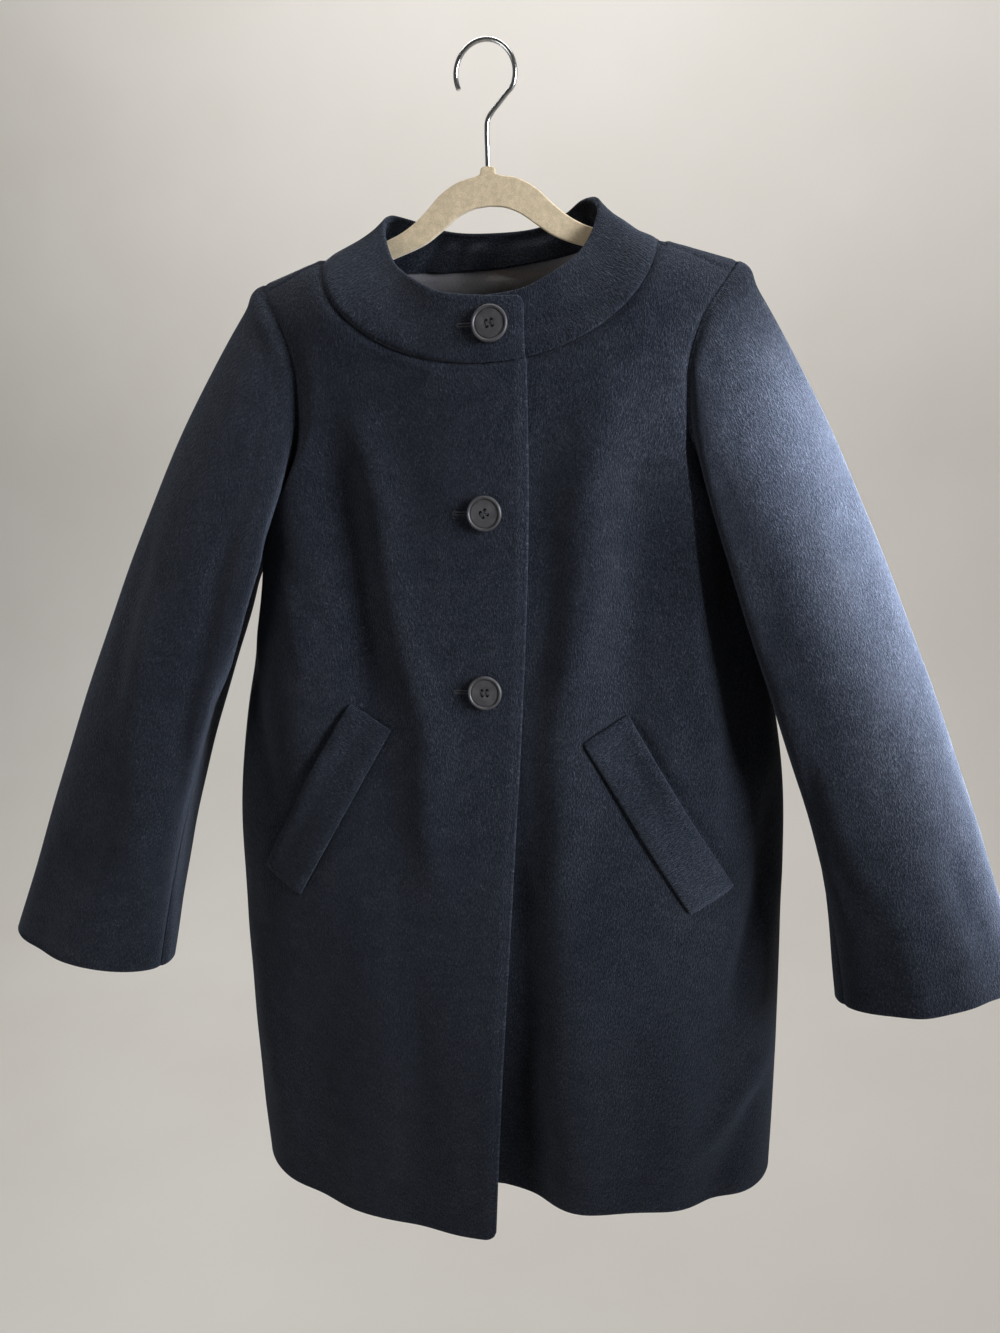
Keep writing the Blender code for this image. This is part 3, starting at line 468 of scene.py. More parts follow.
# Lights: place, the point each faces, size, power in watts, colour, spread and
# roll in degrees, and whether it lights the cloth alone.
COOL = (0.83, 0.91, 1.0)
NEUTRAL = (0.95, 0.98, 1.0)
WARM = (1.0, 0.985, 0.96)
Light = namedtuple("Light", "name place target size power colour spread roll cloth_alone")
LIGHTS = (
    Light("window", (1.05, -0.42, -0.14), (0.10, -0.05, -0.38), (0.45, 0.72), 4.8, COOL, 68.0, 0.0, False),
    Light("beam", (1.05, -0.52, -0.40), (0.40, -0.02, -0.57), (0.08, 0.74), 4.4, COOL, 10.0, 15.0, True),
    Light("fill", (-1.5, -1.5, -0.70), (-0.1, 0.0, -0.50), (1.1, 1.1), 11.0, NEUTRAL, 180.0, 0.0, False),
    Light("wall_wash", (-0.2, 0.4, 2.3), (0.1, 3.0, -0.6), (3.8, 1.4), 110.0, WARM, 180.0, 0.0, False),
    Light("rear", (-0.9, 1.4, 0.10), (0.0, 0.0, -0.5), (0.4, 0.8), 9.0, NEUTRAL, 90.0, 0.0, True),
)
ROOM_COLOUR = (1.0, 0.98, 0.96)
ROOM_STRENGTH = 0.06

# Camera: its place, the way it faces, its roll and its lens
CAMERA_PLACE = (0.1588, -0.8043, -0.2483)
CAMERA_TURN = math.radians(11.29)
CAMERA_PITCH = math.radians(16.2)
CAMERA_ROLL = math.radians(-1.65)
CAMERA_LENS = 25.93
CAMERA_SENSOR = 36.0

# Mesh steps: after a row for the shoulder seam itself, the rows between it and
# the underarm crowd at both ends.
SEAM_ROWS = 84
SEAM_TOP_CROWDING = 1.6
SEAM_LOW_CROWDING = 1.2
SEAM_STEPS = np.linspace(0.0, 1.0, SEAM_ROWS)
SEAM_TOP = SEAM_STEPS ** SEAM_TOP_CROWDING * (1.0 - SEAM_STEPS)
SEAM_LOW = (1.0 - (1.0 - SEAM_STEPS) ** SEAM_LOW_CROWDING) * SEAM_STEPS
SEAM_SHARES = np.concatenate([[0.0], SEAM_TOP + SEAM_LOW])
END_CROWDING = 0.6
FRONT_COLUMNS = 128
BACK_COLUMNS = 84
HEM_ROWS = 180
ROW_SAMPLES = 200
ROW_PASSES = 4
BAND_ROWS = 24
SLEEVE_RINGS = 140
SLEEVE_CROWDING = 1.35
WELT_STEPS_ALONG = 90
WELT_STEPS_OVER = 26
RIM_STEPS = 3
RIM_BULGE = 0.7
WELD_REACH = 0.0002
LINING_FIRST_SHARE = 0.27
LINING_SHORT_ROWS = 6
LINING_SHORT_COLUMNS = 5
LINING_STRIDE = 2
LINING_STRIP_ROWS = 10
FACING_SHORT_COLUMNS = 8
BUTTON_STEPS = 72
BUTTON_HOLE_STEPS = 20
SEAT_STEPS = 16
THREAD_STEPS = 15
BUTTONHOLE_STEPS = 180
BUTTONHOLE_BOW_STEPS = 16
TUBE_SIDES = 8
TUBE_ASIDE = (0.31, 0.17, 0.93)
BAR_STEPS = 49
BAR_TIP_STEPS = 19
HANGER_ROUND_STEPS = 4
HOOK_STEPS = 20
WIRE_STEPS = 6
STAGE_BEND_STEPS = 24
STRIP_TURN = math.radians(2.0)
STRIP_TURN_END = 0.25
UNDERARM_ROW = len(SEAM_SHARES) - 1
NECK_CORNER = {
    "front_right": -math.asin(FRONT_EDGE[0].reach / NECK_HALF),
    "front_left": -math.asin(UNDERLAP / NECK_HALF),
    "back": math.pi,
}


# Form of the coat


def curve_between(start, leave, end, arrive, share):
    """Smooth curve from a start, which it leaves one way, to an end, where it arrives another way."""
    rest = 1.0 - share
    first = rest * rest * ((1.0 + 2.0 * share) * start + share * leave)
    return first + share * share * ((1.0 + 2.0 * rest) * end - rest * arrive)


def column_at(table, name, at):
    """Smooth curve through one column of a table, read at the given places."""
    keys = np.array([row[0] for row in table])
    values = np.array([getattr(row, name) for row in table])
    slopes = np.gradient(values, keys)
    at = np.clip(at, keys[0], keys[-1])
    low = np.clip(np.searchsorted(keys, at) - 1, 0, len(keys) - 2)
    step = keys[low + 1] - keys[low]
    share = (at - keys[low]) / step
    return curve_between(values[low], step * slopes[low], values[low + 1], step * slopes[low + 1], share)


def smooth_step(low, high, value):
    """Soft ramp from 0 at low to 1 at high."""
    share = np.clip((value - low) / (high - low), 0.0, 1.0)
    return share * share * (3.0 - 2.0 * share)


def bell(value, width):
    """Soft hump that is 1 at 0 and falls off over a width."""
    return np.exp(-((value / width) ** 2))


def unit(vectors):
    """The same vectors, each of length one."""
    return vectors / np.maximum(np.linalg.norm(vectors, axis=-1, keepdims=True), 1e-12)


def shoulder_drop(across):
    """Drop of the shoulder line at a distance from the middle."""
    return (np.abs(across) - SHOULDER_HALF) * SHOULDER_SLOPE


def section_across(turn, drop):
    """Distance from the middle at a turn round the section."""
    power = 2.0 / column_at(BODY, "square", drop)
    wave = np.sin(turn)
    return column_at(BODY, "half_width", drop) * np.sign(wave) * np.abs(wave) ** power


def section_turn(across, drop):
    """Turn round the section at a distance from the middle."""
    share = np.clip(np.abs(across) / column_at(BODY, "half_width", drop), 0.0, 1.0)
    return np.sign(across) * np.arcsin(share ** (column_at(BODY, "square", drop) / 2.0))


def lap_lift(panel, across):
    """How far a front is pushed out, or in, where the two fronts lap."""
    return LAP_SHARE[panel] * LAP * (1.0 - smooth_step(LAP_FULL, LAP_END, across))


def fold_lift(panel, across, drop):
    """How far the large folds push a panel out."""
    total = np.zeros(np.broadcast(across, drop).shape)
    for fold in FOLDS[panel]:
        share = smooth_step(fold.drop_top, HEM_DROP_SIDE + FOLD_PAST_HEM, drop)
        middle = fold.across_top + (fold.across_hem - fold.across_top) * share
        total += fold.depth * share * bell(across - middle, fold.width) / FOLD_HEM_SHARE
    return total


def path_distance(path, across, drop):
    """Distance from a path, and the share of the way along it where it is nearest."""
    path = np.array(path)
    steps = np.linalg.norm(np.diff(path, axis=0), axis=1)
    starts = np.concatenate([[0.0], np.cumsum(steps)])
    nearest = np.full(np.shape(across), np.inf)
    share = np.zeros(np.shape(across))
    for index, length in enumerate(steps):
        start = path[index]
        way = (path[index + 1] - start) / length
        along = np.clip((across - start[0]) * way[0] + (drop - start[1]) * way[1], 0.0, length)
        gap = np.hypot(across - start[0] - along * way[0], drop - start[1] - along * way[1])
        share = np.where(gap < nearest, (starts[index] + along) / starts[-1], share)
        nearest = np.minimum(gap, nearest)
    return nearest, share


def wave_at(wave, across, drop, waver=0.0):
    """Height of a wave in the cloth, between -1 and 1, at places across and down."""
    return np.sin(wave.across * across + wave.drop * drop + waver + wave.start)


def uneven_lift(crossed, across, drop):
    """How far two waves that cross push the cloth out."""
    height, first, second = crossed
    return height * wave_at(first, across, drop) * wave_at(second, across, drop)


def crease_lift(panel, across, drop):
    """How far the creases push the cloth out, with a slight unevenness of the whole."""
    wander = CREASE_WANDER * wave_at(CREASE_WAVER, across, drop)
    total = sum(uneven_lift(crossed, across, drop) for crossed in UNEVEN)
    for crease in CREASES[panel]:
        path = np.array(crease.path)
        at = across
        if panel in CUFFS:
            middle = path[:, 0].mean() * SLEEVE_ROUND / 360.0
            at = (across - middle + SLEEVE_ROUND / 2.0) % SLEEVE_ROUND + middle - SLEEVE_ROUND / 2.0
            path = path * np.array([SLEEVE_ROUND / 360.0, SLEEVE_LONG])
        gap, share = path_distance(path, at + wander, drop)
        fade = smooth_step(0.0, CREASE_START, share) * (1.0 - smooth_step(CREASE_END, 1.0, share))
        total += crease.depth * fade * bell(gap, crease.width)
    return total


def panel_points(panel, turn, drop, lift=0.0):
    """Outer surface of a body panel at turns round the section and drops."""
    half = column_at(BODY, "half_width", drop)
    depth = column_at(BODY, "back_depth" if panel == "back" else "front_depth", drop)
    square = column_at(BODY, "square", drop)
    across = section_across(turn, drop)
    fall = np.clip((drop - shoulder_drop(across)) / SHOULDER_ROLL, 0.0, 1.0)
    out = depth * np.cos(turn) * np.sqrt(1.0 - (1.0 - fall) ** 2)
    push_across = np.sign(across) * square * (np.abs(across) / half) ** (square - 1.0) / half
    push_out = 2.0 * np.cos(turn) / depth
    size = np.hypot(push_across, push_out)
    push = lift + lap_lift(panel, across) + fold_lift(panel, across, drop)
    x = SIDE[panel] * (across + push * push_across / size)
    y = FACE[panel] * (out + push * push_out / size + SEAM_STRIP)
    return np.stack([x, y, SHOULDER_Z - drop + 0.0 * x], axis=-1)


def hung(points):
    """The same points after the coat's skirt has turned a little on its hanger."""
    drop = SHOULDER_Z - points[..., 2]
    turned = np.array(points)
    turned[..., 1] += HANG_TWIST * points[..., 0] * smooth_step(UNDERARM_DROP, HANG_TWIST_END, drop)
    return turned


def front_points(panel, across, drop, lift=0.0):
    """Outer surface of a front at distances from the middle and drops."""
    return panel_points(panel, section_turn(across, drop), drop, lift)


def neck_seam(turn, inset=0.0):
    """Seam between body and neck band, by the turn from the middle of the front."""
    half = NECK_HALF - inset
    scoop = np.where(np.cos(turn) > 0.0, NECK_SCOOP_FRONT, NECK_SCOOP_BACK) - inset
    return half * np.sin(turn), shoulder_drop(half) + scoop * np.abs(np.cos(turn))


def neck_distance(panel, across, drop):
    """Distance of a place on a panel from its neck seam."""
    scoop = NECK_SCOOP_BACK if panel == "back" else NECK_SCOOP_FRONT
    below = (drop - shoulder_drop(NECK_HALF)) / scoop
    beside = across / NECK_HALF
    reach = np.hypot(beside, below)
    steep = np.hypot(beside / NECK_HALF, below / scoop) / np.maximum(reach, 1e-6)
    return np.maximum(reach - 1.0, 0.0) / np.maximum(steep, 1e-6)


def seam_turn(panel, share):
    """Turn round the neck at a share of the way along a panel's neck seam."""
    return math.pi / 2.0 + (NECK_CORNER[panel] - math.pi / 2.0) * share


def strip_turn(share):
    """Turn by which the cloth beside a shoulder seam moves off it, less further along."""
    return STRIP_TURN * (1.0 - smooth_step(0.0, STRIP_TURN_END, share))


def armhole_edge(panel, share):
    """Turn and drop of a panel's armhole at a share of the way down."""
    name = "back_turn" if panel == "back" else "front_turn"
    return np.radians(column_at(ARMHOLE, name, share)), column_at(ARMHOLE, "drop", share)


def panel_row(panel, inner, outer, side=1.0, sag=0.0):
    """Closely set points of a panel from an inner place to an outer place."""
    across_in, drop_in = inner
    turn_out, drop_out = outer
    turn = np.linspace(section_turn(across_in, drop_in), turn_out, ROW_SAMPLES)
    across_out = section_across(turn_out, drop_out)
    drop = np.linspace(drop_in, drop_out, ROW_SAMPLES)
    for _ in range(ROW_PASSES):
        across = section_across(turn, drop)
        share = (across - across_in) / (across_out - across_in)
        drop = drop_in + (drop_out - drop_in) * share + sag * 4.0 * share * (1.0 - share)
    return panel_points(panel, side * turn, drop)


def armhole_way(panel, side, share, row):
    """Direction in the body's surface that leads out of it across the armhole's edge."""
    along_row = unit(row[-1] - row[-2])
    step = 0.002
    wing = side if panel == "back" else 1.0
    turn, drop = armhole_edge(panel, share)
    round_it = panel_points(panel, wing * (turn + step), drop)
    round_it = round_it - panel_points(panel, wing * (turn - step), drop)
    down = panel_points(panel, wing * turn, drop + step) - panel_points(panel, wing * turn, drop - step)
    ends = []
    for place in (max(share - step, 0.0), min(share + step, 1.0)):
        turn_at, drop_at = armhole_edge(panel, place)
        ends.append(panel_points(panel, wing * turn_at, drop_at))
    way = unit(np.cross(ends[1] - ends[0], np.cross(round_it, down)))
    inside = np.array([side * SHOULDER_HALF / 2.0, 0.0, SHOULDER_Z - ARMHOLE_INSIDE_DROP])
    way = way * np.sign(np.dot(way, ends[0] - inside))
    lowness = smooth_step(ARMHOLE_LOW_START, ARMHOLE_LOW_END, share)
    return unit((1.0 - lowness) * along_row + lowness * way)


def lengths_along(points):
    """Lengths along a line of points from its first one."""
    return np.concatenate([[0.0], np.cumsum(np.linalg.norm(np.diff(points, axis=0), axis=1))])


def spaced(points, steps):
    """Points along a line, closer at both of its ends."""
    lengths = lengths_along(points)
    even = np.linspace(0.0, 1.0, steps)
    places = lengths[-1] * (even - END_CROWDING * np.sin(2.0 * math.pi * even) / (2.0 * math.pi))
    return np.stack([np.interp(places, lengths, points[:, axis]) for axis in range(3)], axis=-1)


def inner_edge(panel, drop):
    """Place across of a panel's inner edge: the fronts pass the middle, the halves of the back meet there."""
    if panel == "front_right":
        return -float(column_at(FRONT_EDGE, "reach", drop))
    return -UNDERLAP if panel == "front_left" else 0.0


def panel_rows(panel):
    """Inner and outer ends and sag of a panel's rows, from shoulder seam to hem."""
    rows = []
    for share in SEAM_SHARES:
        across, drop = neck_seam(seam_turn(panel, share), -SEAM_GAP / 2.0)
        rows.append(((float(across), float(drop)), armhole_edge(panel, share), 0.0))
    top_in = rows[-1][0][1]
    top_out = rows[-1][1][1]
    for step in range(1, HEM_ROWS + 1):
        share = step / HEM_ROWS
        drop_in = top_in + (HEM_DROP[panel] - top_in) * share
        drop_out = top_out + (HEM_DROP_SIDE - top_out) * share
        inner = (inner_edge(panel, drop_in), drop_in)
        rows.append((inner, (math.pi / 2.0, drop_out), HEM_SAG[panel] * share * share))
    return rows


def panel_grid(panel, steps, side=1.0):
    """Grid of points of a front, or of half the back."""
    seam = FACE[panel] * SEAM_GAP / 2.0
    grid = []
    for index, (inner, outer, sag) in enumerate(panel_rows(panel)):
        line = panel_row(panel, inner, outer, side, sag)
        if index < UNDERARM_ROW:
            way = armhole_way(panel, SIDE[panel] * side, SEAM_SHARES[index], line)
            line[-1] -= way * ARMHOLE_GAP / 2.0
        else:
            line = np.concatenate([line, line[-1:]])
            line[-1, 1] = seam
        grid.append(spaced(line, steps))
    grid[0][:, 1] = seam
    return hung(np.array(grid))


def grid_ways(grid):
    """Directions from row to row of a grid; at each point the nearer neighbour counts more."""
    steps = np.diff(grid, axis=0)
    lengths = np.linalg.norm(steps, axis=-1, keepdims=True) + 1e-5
    ways = unit(steps)
    before = np.concatenate([ways[:1], ways])
    after = np.concatenate([ways, ways[-1:]])
    length_before = np.concatenate([lengths[:1], lengths])
    length_after = np.concatenate([lengths, lengths[-1:]])
    return unit(before * length_after + after * length_before)


def grid_normals(grid):
    """Directions square to a grid of points."""
    along_rows = grid_ways(grid.swapaxes(0, 1)).swapaxes(0, 1)
    return unit(np.cross(grid_ways(grid), along_rows))


def edge_distances(grid):
    """Distances along the cloth from a grid's first and last column and first and last row."""
    left = np.pad(np.cumsum(np.linalg.norm(np.diff(grid, axis=1), axis=2), axis=1), ((0, 0), (1, 0)))
    top = np.pad(np.cumsum(np.linalg.norm(np.diff(grid, axis=0), axis=2), axis=0), ((1, 0), (0, 0)))
    return left, left[:, -1:] - left, top, top[-1:] - top


def welt_axes(panel, across, drop):
    """Distances along a front's welt and over it, from its middle."""
    beside = across - WELT_ACROSS
    below = drop - WELT_DROP[panel]
    along = beside * math.sin(WELT_TILT) + below * math.cos(WELT_TILT)
    return along, beside * math.cos(WELT_TILT) - below * math.sin(WELT_TILT)


def welt_groove(panel, across, drop):
    """How far a front is drawn in round its welt, most behind the pocket's mouth."""
    along, over = welt_axes(panel, across, drop)
    past_end = np.abs(along) - WELT_LENGTH / 2.0
    past_side = np.abs(over) - WELT_WIDTH / 2.0
    outside = np.hypot(np.maximum(past_end, 0.0), np.maximum(past_side, 0.0))
    gap = outside + np.minimum(np.maximum(past_end, past_side), 0.0)
    mouth = bell(over - WELT_WIDTH / 2.0 - WELT_MOUTH_SHIFT, WELT_MOUTH_WIDTH)
    mouth = mouth * (1.0 - smooth_step(-WELT_MOUTH_FADE, 0.0, past_end))
    return -WELT_GROOVE * (bell(gap, WELT_GROOVE_WIDTH) + WELT_MOUTH_GROOVE * mouth)


def rounded_corner(grid):
    """A front's grid with its lower corner at the front edge rounded off."""
    edge_gap, _, _, hem_gap = edge_distances(grid)
    short = np.clip(HEM_CORNER - edge_gap[-1], 0.0, HEM_CORNER)
    raised = HEM_CORNER - np.sqrt(HEM_CORNER ** 2 - short ** 2)
    share = np.clip(1.0 - hem_gap / HEM_CORNER_REACH, 0.0, 1.0)
    up = unit(grid[-2:-1] - grid[-1:])
    return grid + up * (raised * share)[..., None]


def dressed_panel(panel, grid, sign):
    """A panel's grid with its creases, and with its seams drawn in."""
    across = grid[..., 0] * SIDE[panel]
    drop = SHOULDER_Z - grid[..., 2]
    front_gap, side_gap, shoulder_gap, _ = edge_distances(grid)
    neck_gap = neck_distance(panel, across, drop)
    strip = (SEAM_STRIP - SEAM_GAP / 2.0) * (np.arange(len(grid)) >= UNDERARM_ROW)[:, None]
    sewn = smooth_step(0.0, SIDE_FADE, side_gap - strip) * smooth_step(0.0, SHOULDER_FADE, shoulder_gap)
    lift = sewn * smooth_step(0.0, NECK_FADE, neck_gap) * crease_lift(panel, across, drop)
    nearest = np.minimum(np.minimum(side_gap, shoulder_gap), neck_gap)
    lift -= SEAM_DIP * bell(nearest, SEAM_DIP_WIDTH)
    if panel != "back":
        lift -= EDGE_ROLL * (1.0 - smooth_step(0.0, EDGE_ROLL_WIDTH, front_gap))
        slant = smooth_step(NECK_HALF, SHOULDER_HALF, across)
        line_drop = SEWN_LINE_NECK + (SEWN_LINE_SLEEVE - SEWN_LINE_NECK) * slant
        line_gap = drop - shoulder_drop(across) - line_drop
        waver = across / PUCKER_PITCH + PUCKER_WAVER * np.sin(across * PUCKER_WAVER_RATE)
        pucker = PUCKER * np.sin(2.0 * math.pi * waver) * bell(line_gap, PUCKER_WIDTH)
        inside = smooth_step(0.0, SEWN_LINE_SIDE_END, side_gap)
        inside = inside * smooth_step(0.0, SEWN_LINE_NECK_END, neck_gap)
        lift += inside * (pucker - SEWN_LINE_DIP * bell(line_gap, SEWN_LINE_WIDTH))
        lift += welt_groove(panel, across, drop)
    return grid + sign * grid_normals(grid) * lift[..., None]


def band_column(name, turn, share):
    """Foot, start and edge of the neck band at one turn round the neck."""
    side = -1.0 if name.endswith("right") else 1.0
    panel = name if name.startswith("front") else "back"
    ends = []
    for inset in (SEAM_GAP / 2.0, SEAM_GAP / 2.0 + SEAM_STRIP):
        across, drop = neck_seam(turn, inset)
        wing = side if panel == "back" else 1.0
        ends.append(panel_points(panel, wing * section_turn(across, drop), drop))
        if share is None:
            ends[-1][1] = 0.0
    lap = 0.0 if panel == "back" else float(lap_lift(panel, NECK_HALF * math.sin(turn)))
    if share is not None:
        turn += strip_turn(share) if panel == "back" else -strip_turn(share)
    degrees = math.degrees(turn)
    lean = side * BAND_LEAN * bell(degrees - BAND_LEAN_TURN, BAND_LEAN_WIDTH)
    edge = np.array([
        side * column_at(NECK_EDGE, "across", degrees),
        column_at(NECK_EDGE, "back", degrees) - lap,
        SHOULDER_Z - column_at(NECK_EDGE, "drop", degrees) + lean,
    ])
    return ends[0], ends[1], edge


def band_line(foot, start, edge, share):
    """Point of the neck band at a share of the way from its start to its edge."""
    reach = np.linalg.norm(edge - start, axis=-1, keepdims=True)
    leave = BAND_LEAVE * reach * unit(start - foot) + (1.0 - BAND_LEAVE) * (edge - start)
    arrive = (1.0 - BAND_ARRIVE) * (edge - start) + BAND_ARRIVE * reach * np.array([0.0, 0.0, 1.0])
    return curve_between(start, leave, edge, arrive, share)


def band_columns():
    """Foot, start and edge of the neck band from end to end, and the turn round the neck of each."""
    places = [("front_right", index) for index in range(UNDERARM_ROW, -1, -1)]
    places += [("back_right", index) for index in range(1, UNDERARM_ROW + 1)]
    places += [("back_left", index) for index in range(UNDERARM_ROW - 1, 0, -1)]
    places += [("front_left", index) for index in range(0, UNDERARM_ROW + 1)]
    columns = []
    turns = []
    for name, index in places:
        panel = name if name.startswith("front") else "back"
        share = SEAM_SHARES[index]
        turns.append(seam_turn(panel, share))
        columns.append(band_column(name, turns[-1], share if index else None))
    return np.array(columns).transpose(1, 0, 2), np.array(turns)


def band_top(columns):
    """Share of the way up at which each column of the neck band ends, less at its rounded corners."""
    _, start, edge = columns
    along = lengths_along(edge)
    from_end = np.minimum(np.minimum(along, along[-1] - along), BAND_CORNER)
    lowered = BAND_CORNER - np.sqrt(BAND_CORNER ** 2 - (BAND_CORNER - from_end) ** 2)
    return 1.0 - lowered[:, None] / np.linalg.norm(edge - start, axis=1, keepdims=True)


def band_rows(columns, low, high, steps):
    """Rows of the neck band between two shares of the way up from its seam."""
    return np.array([band_line(*columns, low + (high - low) * step) for step in np.linspace(0.0, 1.0, steps)])


def facing_low(columns, turns):
    """Share of the way up at which the facing starts inside the neck: higher behind, above the lining."""
    behind = smooth_step(FACING_RISE_START, FACING_RISE_END, turns)
    return (behind * (FACING_LOW + FACING_SLANT * columns[2][:, 0]))[:, None]


def sleeve_start(side):
    """Armhole points round a sleeve and the way its cloth leaves them."""
    front = "front_right" if side < 0 else "front_left"
    places = [(front, index) for index in range(UNDERARM_ROW + 1)]
    places += [("back", index) for index in range(UNDERARM_ROW - 1, 0, -1)]
    points = []
    ways = []
    turns = []
    for panel, index in places:
        share = SEAM_SHARES[index]
        inner = neck_seam(seam_turn(panel, share))
        row = panel_row(panel, (float(inner[0]), float(inner[1])), armhole_edge(panel, share))
        if panel == "back":
            row[:, 0] *= side
        way = armhole_way(panel, side, share, row)
        if index in (0, UNDERARM_ROW):
            row[-1][1] = 0.0
        turn = math.pi * share
        if index > 0:
            turn += strip_turn(share)
        points.append(row[-1])
        ways.append(way)
        turns.append(2.0 * math.pi - turn if panel == "back" else turn)
    return np.array(points), np.array(ways), np.array(turns)


def cuff_ring(cuff, turns):
    """Lower edge of a sleeve, starting at its outer end by way of the front."""
    along = np.cos(turns)
    ahead = np.sin(turns)
    return np.stack([
        cuff.side * (cuff.across + cuff.half_width * along),
        cuff.back - cuff.half_depth * ahead,
        SHOULDER_Z - cuff.drop + cuff.raised * along - cuff.lowered * ahead,
    ], axis=-1)


def sleeve_grid(cuff):
    """Outer surface of a sleeve, rings from the armhole to the cuff, and its turns and shares."""
    seam, way, turns = sleeve_start(cuff.side)
    first = seam + way * ARMHOLE_GAP / 2.0
    start = first + way * SEAM_STRIP
    end = cuff_ring(cuff, turns)
    degrees = np.degrees(turns)
    swell = np.stack([
        cuff.side * column_at(SLEEVE_TOP_SWELL, "outward", degrees),
        column_at(SLEEVE_TOP_SWELL, "backward", degrees),
        column_at(SLEEVE_TOP_SWELL, "upward", degrees),
    ], axis=-1)
    leave = end - start + cuff.swell * swell
    arrive = end - start + np.array([cuff.side * SLEEVE_END_SWELL, 0.0, 0.0])
    shares = np.linspace(0.0, 1.0, SLEEVE_RINGS)[1:] ** SLEEVE_CROWDING
    rings = [first, start] + [curve_between(start, leave, end, arrive, share) for share in shares]
    return np.array(rings), turns, np.concatenate([[0.0, 0.0], shares])


def dressed_sleeve(name, cuff):
    """A sleeve's grid, opened along its seam, with its creases and its seams drawn in."""
    grid, turns, shares = sleeve_grid(cuff)
    opened = int(np.argmin(np.abs(turns - SLEEVE_SEAM_TURN)))
    order = np.roll(np.arange(len(turns)), -opened)
    order = np.append(order, opened)
    grid = grid[:, order]
    turns = turns[order]
    grid[:, 0] += unit(grid[:, 1] - grid[:, 0]) * SEAM_GAP / 2.0
    grid[:, -1] -= unit(grid[:, -1] - grid[:, -2]) * SEAM_GAP / 2.0
    seam_gap, other_gap, armhole_gap, _ = edge_distances(grid)
    round_it = np.broadcast_to(turns / (2.0 * math.pi) * SLEEVE_ROUND, grid.shape[:2])
    down = np.broadcast_to(shares[:, None] * SLEEVE_LONG, grid.shape[:2])
    seam_gap = np.minimum(seam_gap, other_gap)
    sewn = smooth_step(0.0, ARMHOLE_FADE, armhole_gap) * smooth_step(0.0, SLEEVE_SEAM_FADE, seam_gap)
    lift = sewn * crease_lift(name, round_it, down)
    head = np.clip(np.cos(turns), 0.0, 1.0)
    roll = SLEEVE_HEAD_ROLL * head * bell(armhole_gap - SLEEVE_HEAD_REACH, SLEEVE_HEAD_WIDTH)
    lift += roll * smooth_step(0.0, SLEEVE_HEAD_START, armhole_gap)
    lift -= SEAM_DIP * bell(np.minimum(seam_gap, armhole_gap), SEAM_DIP_WIDTH)
    return grid - cuff.side * grid_normals(grid) * lift[..., None]


def welt_grid(panel):
    """Outer surface of a pocket welt: a slanting bar of the front, its mouth edge a little open."""
    steps_along = np.linspace(-0.5, 0.5, WELT_STEPS_ALONG)
    share_along, share_over = np.meshgrid(steps_along, np.linspace(-0.5, 0.5, WELT_STEPS_OVER))
    along = share_along * WELT_LENGTH
    over = share_over * WELT_WIDTH
    across = WELT_ACROSS + along * math.sin(WELT_TILT) + over * math.cos(WELT_TILT)
    drop = WELT_DROP[panel] + along * math.cos(WELT_TILT) - over * math.sin(WELT_TILT)
    mouth = WELT_MOUTH * smooth_step(WELT_MOUTH_START, 0.5, share_over)
    mouth = mouth * np.cos(math.pi * share_along) ** WELT_MOUTH_FULLNESS
    end_gap = (0.5 - np.abs(share_along)) * WELT_LENGTH
    edge_gap = (0.5 - np.abs(share_over)) * WELT_WIDTH
    rounding = WELT_ROUNDING * (bell(end_gap, WELT_ROUNDING_WIDTH) + bell(edge_gap, WELT_ROUNDING_WIDTH))
    lift = WELT_GAP + WELT_CLOTH + mouth - rounding + crease_lift(panel, across, drop)
    return hung(front_points(panel, across, drop, lift))


# Meshes


def grid_faces(numbers):
    """Four-cornered faces between the neighbours of a grid of vertex numbers."""
    corners = [numbers[:-1, :-1], numbers[:-1, 1:], numbers[1:, 1:], numbers[1:, :-1]]
    return np.stack(corners, axis=-1).reshape(-1, 4)


def rim_places(rows, columns, joined):
    """Rows and columns of the places round a grid; with joined, not below it on the first column."""
    top = [(0, column) for column in range(columns)]
    right = [(row, columns - 1) for row in range(1, rows)]
    bottom = [(rows - 1, column) for column in range(columns - 2, -1, -1)]
    if joined is None:
        return np.array(top + right + bottom + [(row, 0) for row in range(rows - 2, 0, -1)])
    return np.array([(row, 0) for row in range(joined, 0, -1)] + top + right + bottom)


def even_cloth(grid):
    """Cloth coordinates of a grid: its mean lengths along rows and columns."""
    left, _, top, _ = edge_distances(grid)
    return np.stack(np.meshgrid(left.mean(axis=0), -top.mean(axis=1)), axis=-1)


def panel_cloth(grid):
    """Cloth coordinates of a body panel: how far round from the middle, and how far down."""
    left = edge_distances(grid)[0]
    drop = SHOULDER_Z - grid[..., 2]
    fall = np.maximum(drop - shoulder_drop(grid[..., 0]), 0.0)
    rolled = SHOULDER_ROLL * np.arccos(1.0 - np.minimum(fall / SHOULDER_ROLL, 1.0))
    down = rolled + np.maximum(fall - SHOULDER_ROLL, 0.0) + shoulder_drop(grid[..., 0])
    outward = np.sign(grid[-1, -1, 0])
    return np.stack([outward * left + grid[:, :1, 0], -down], axis=-1)


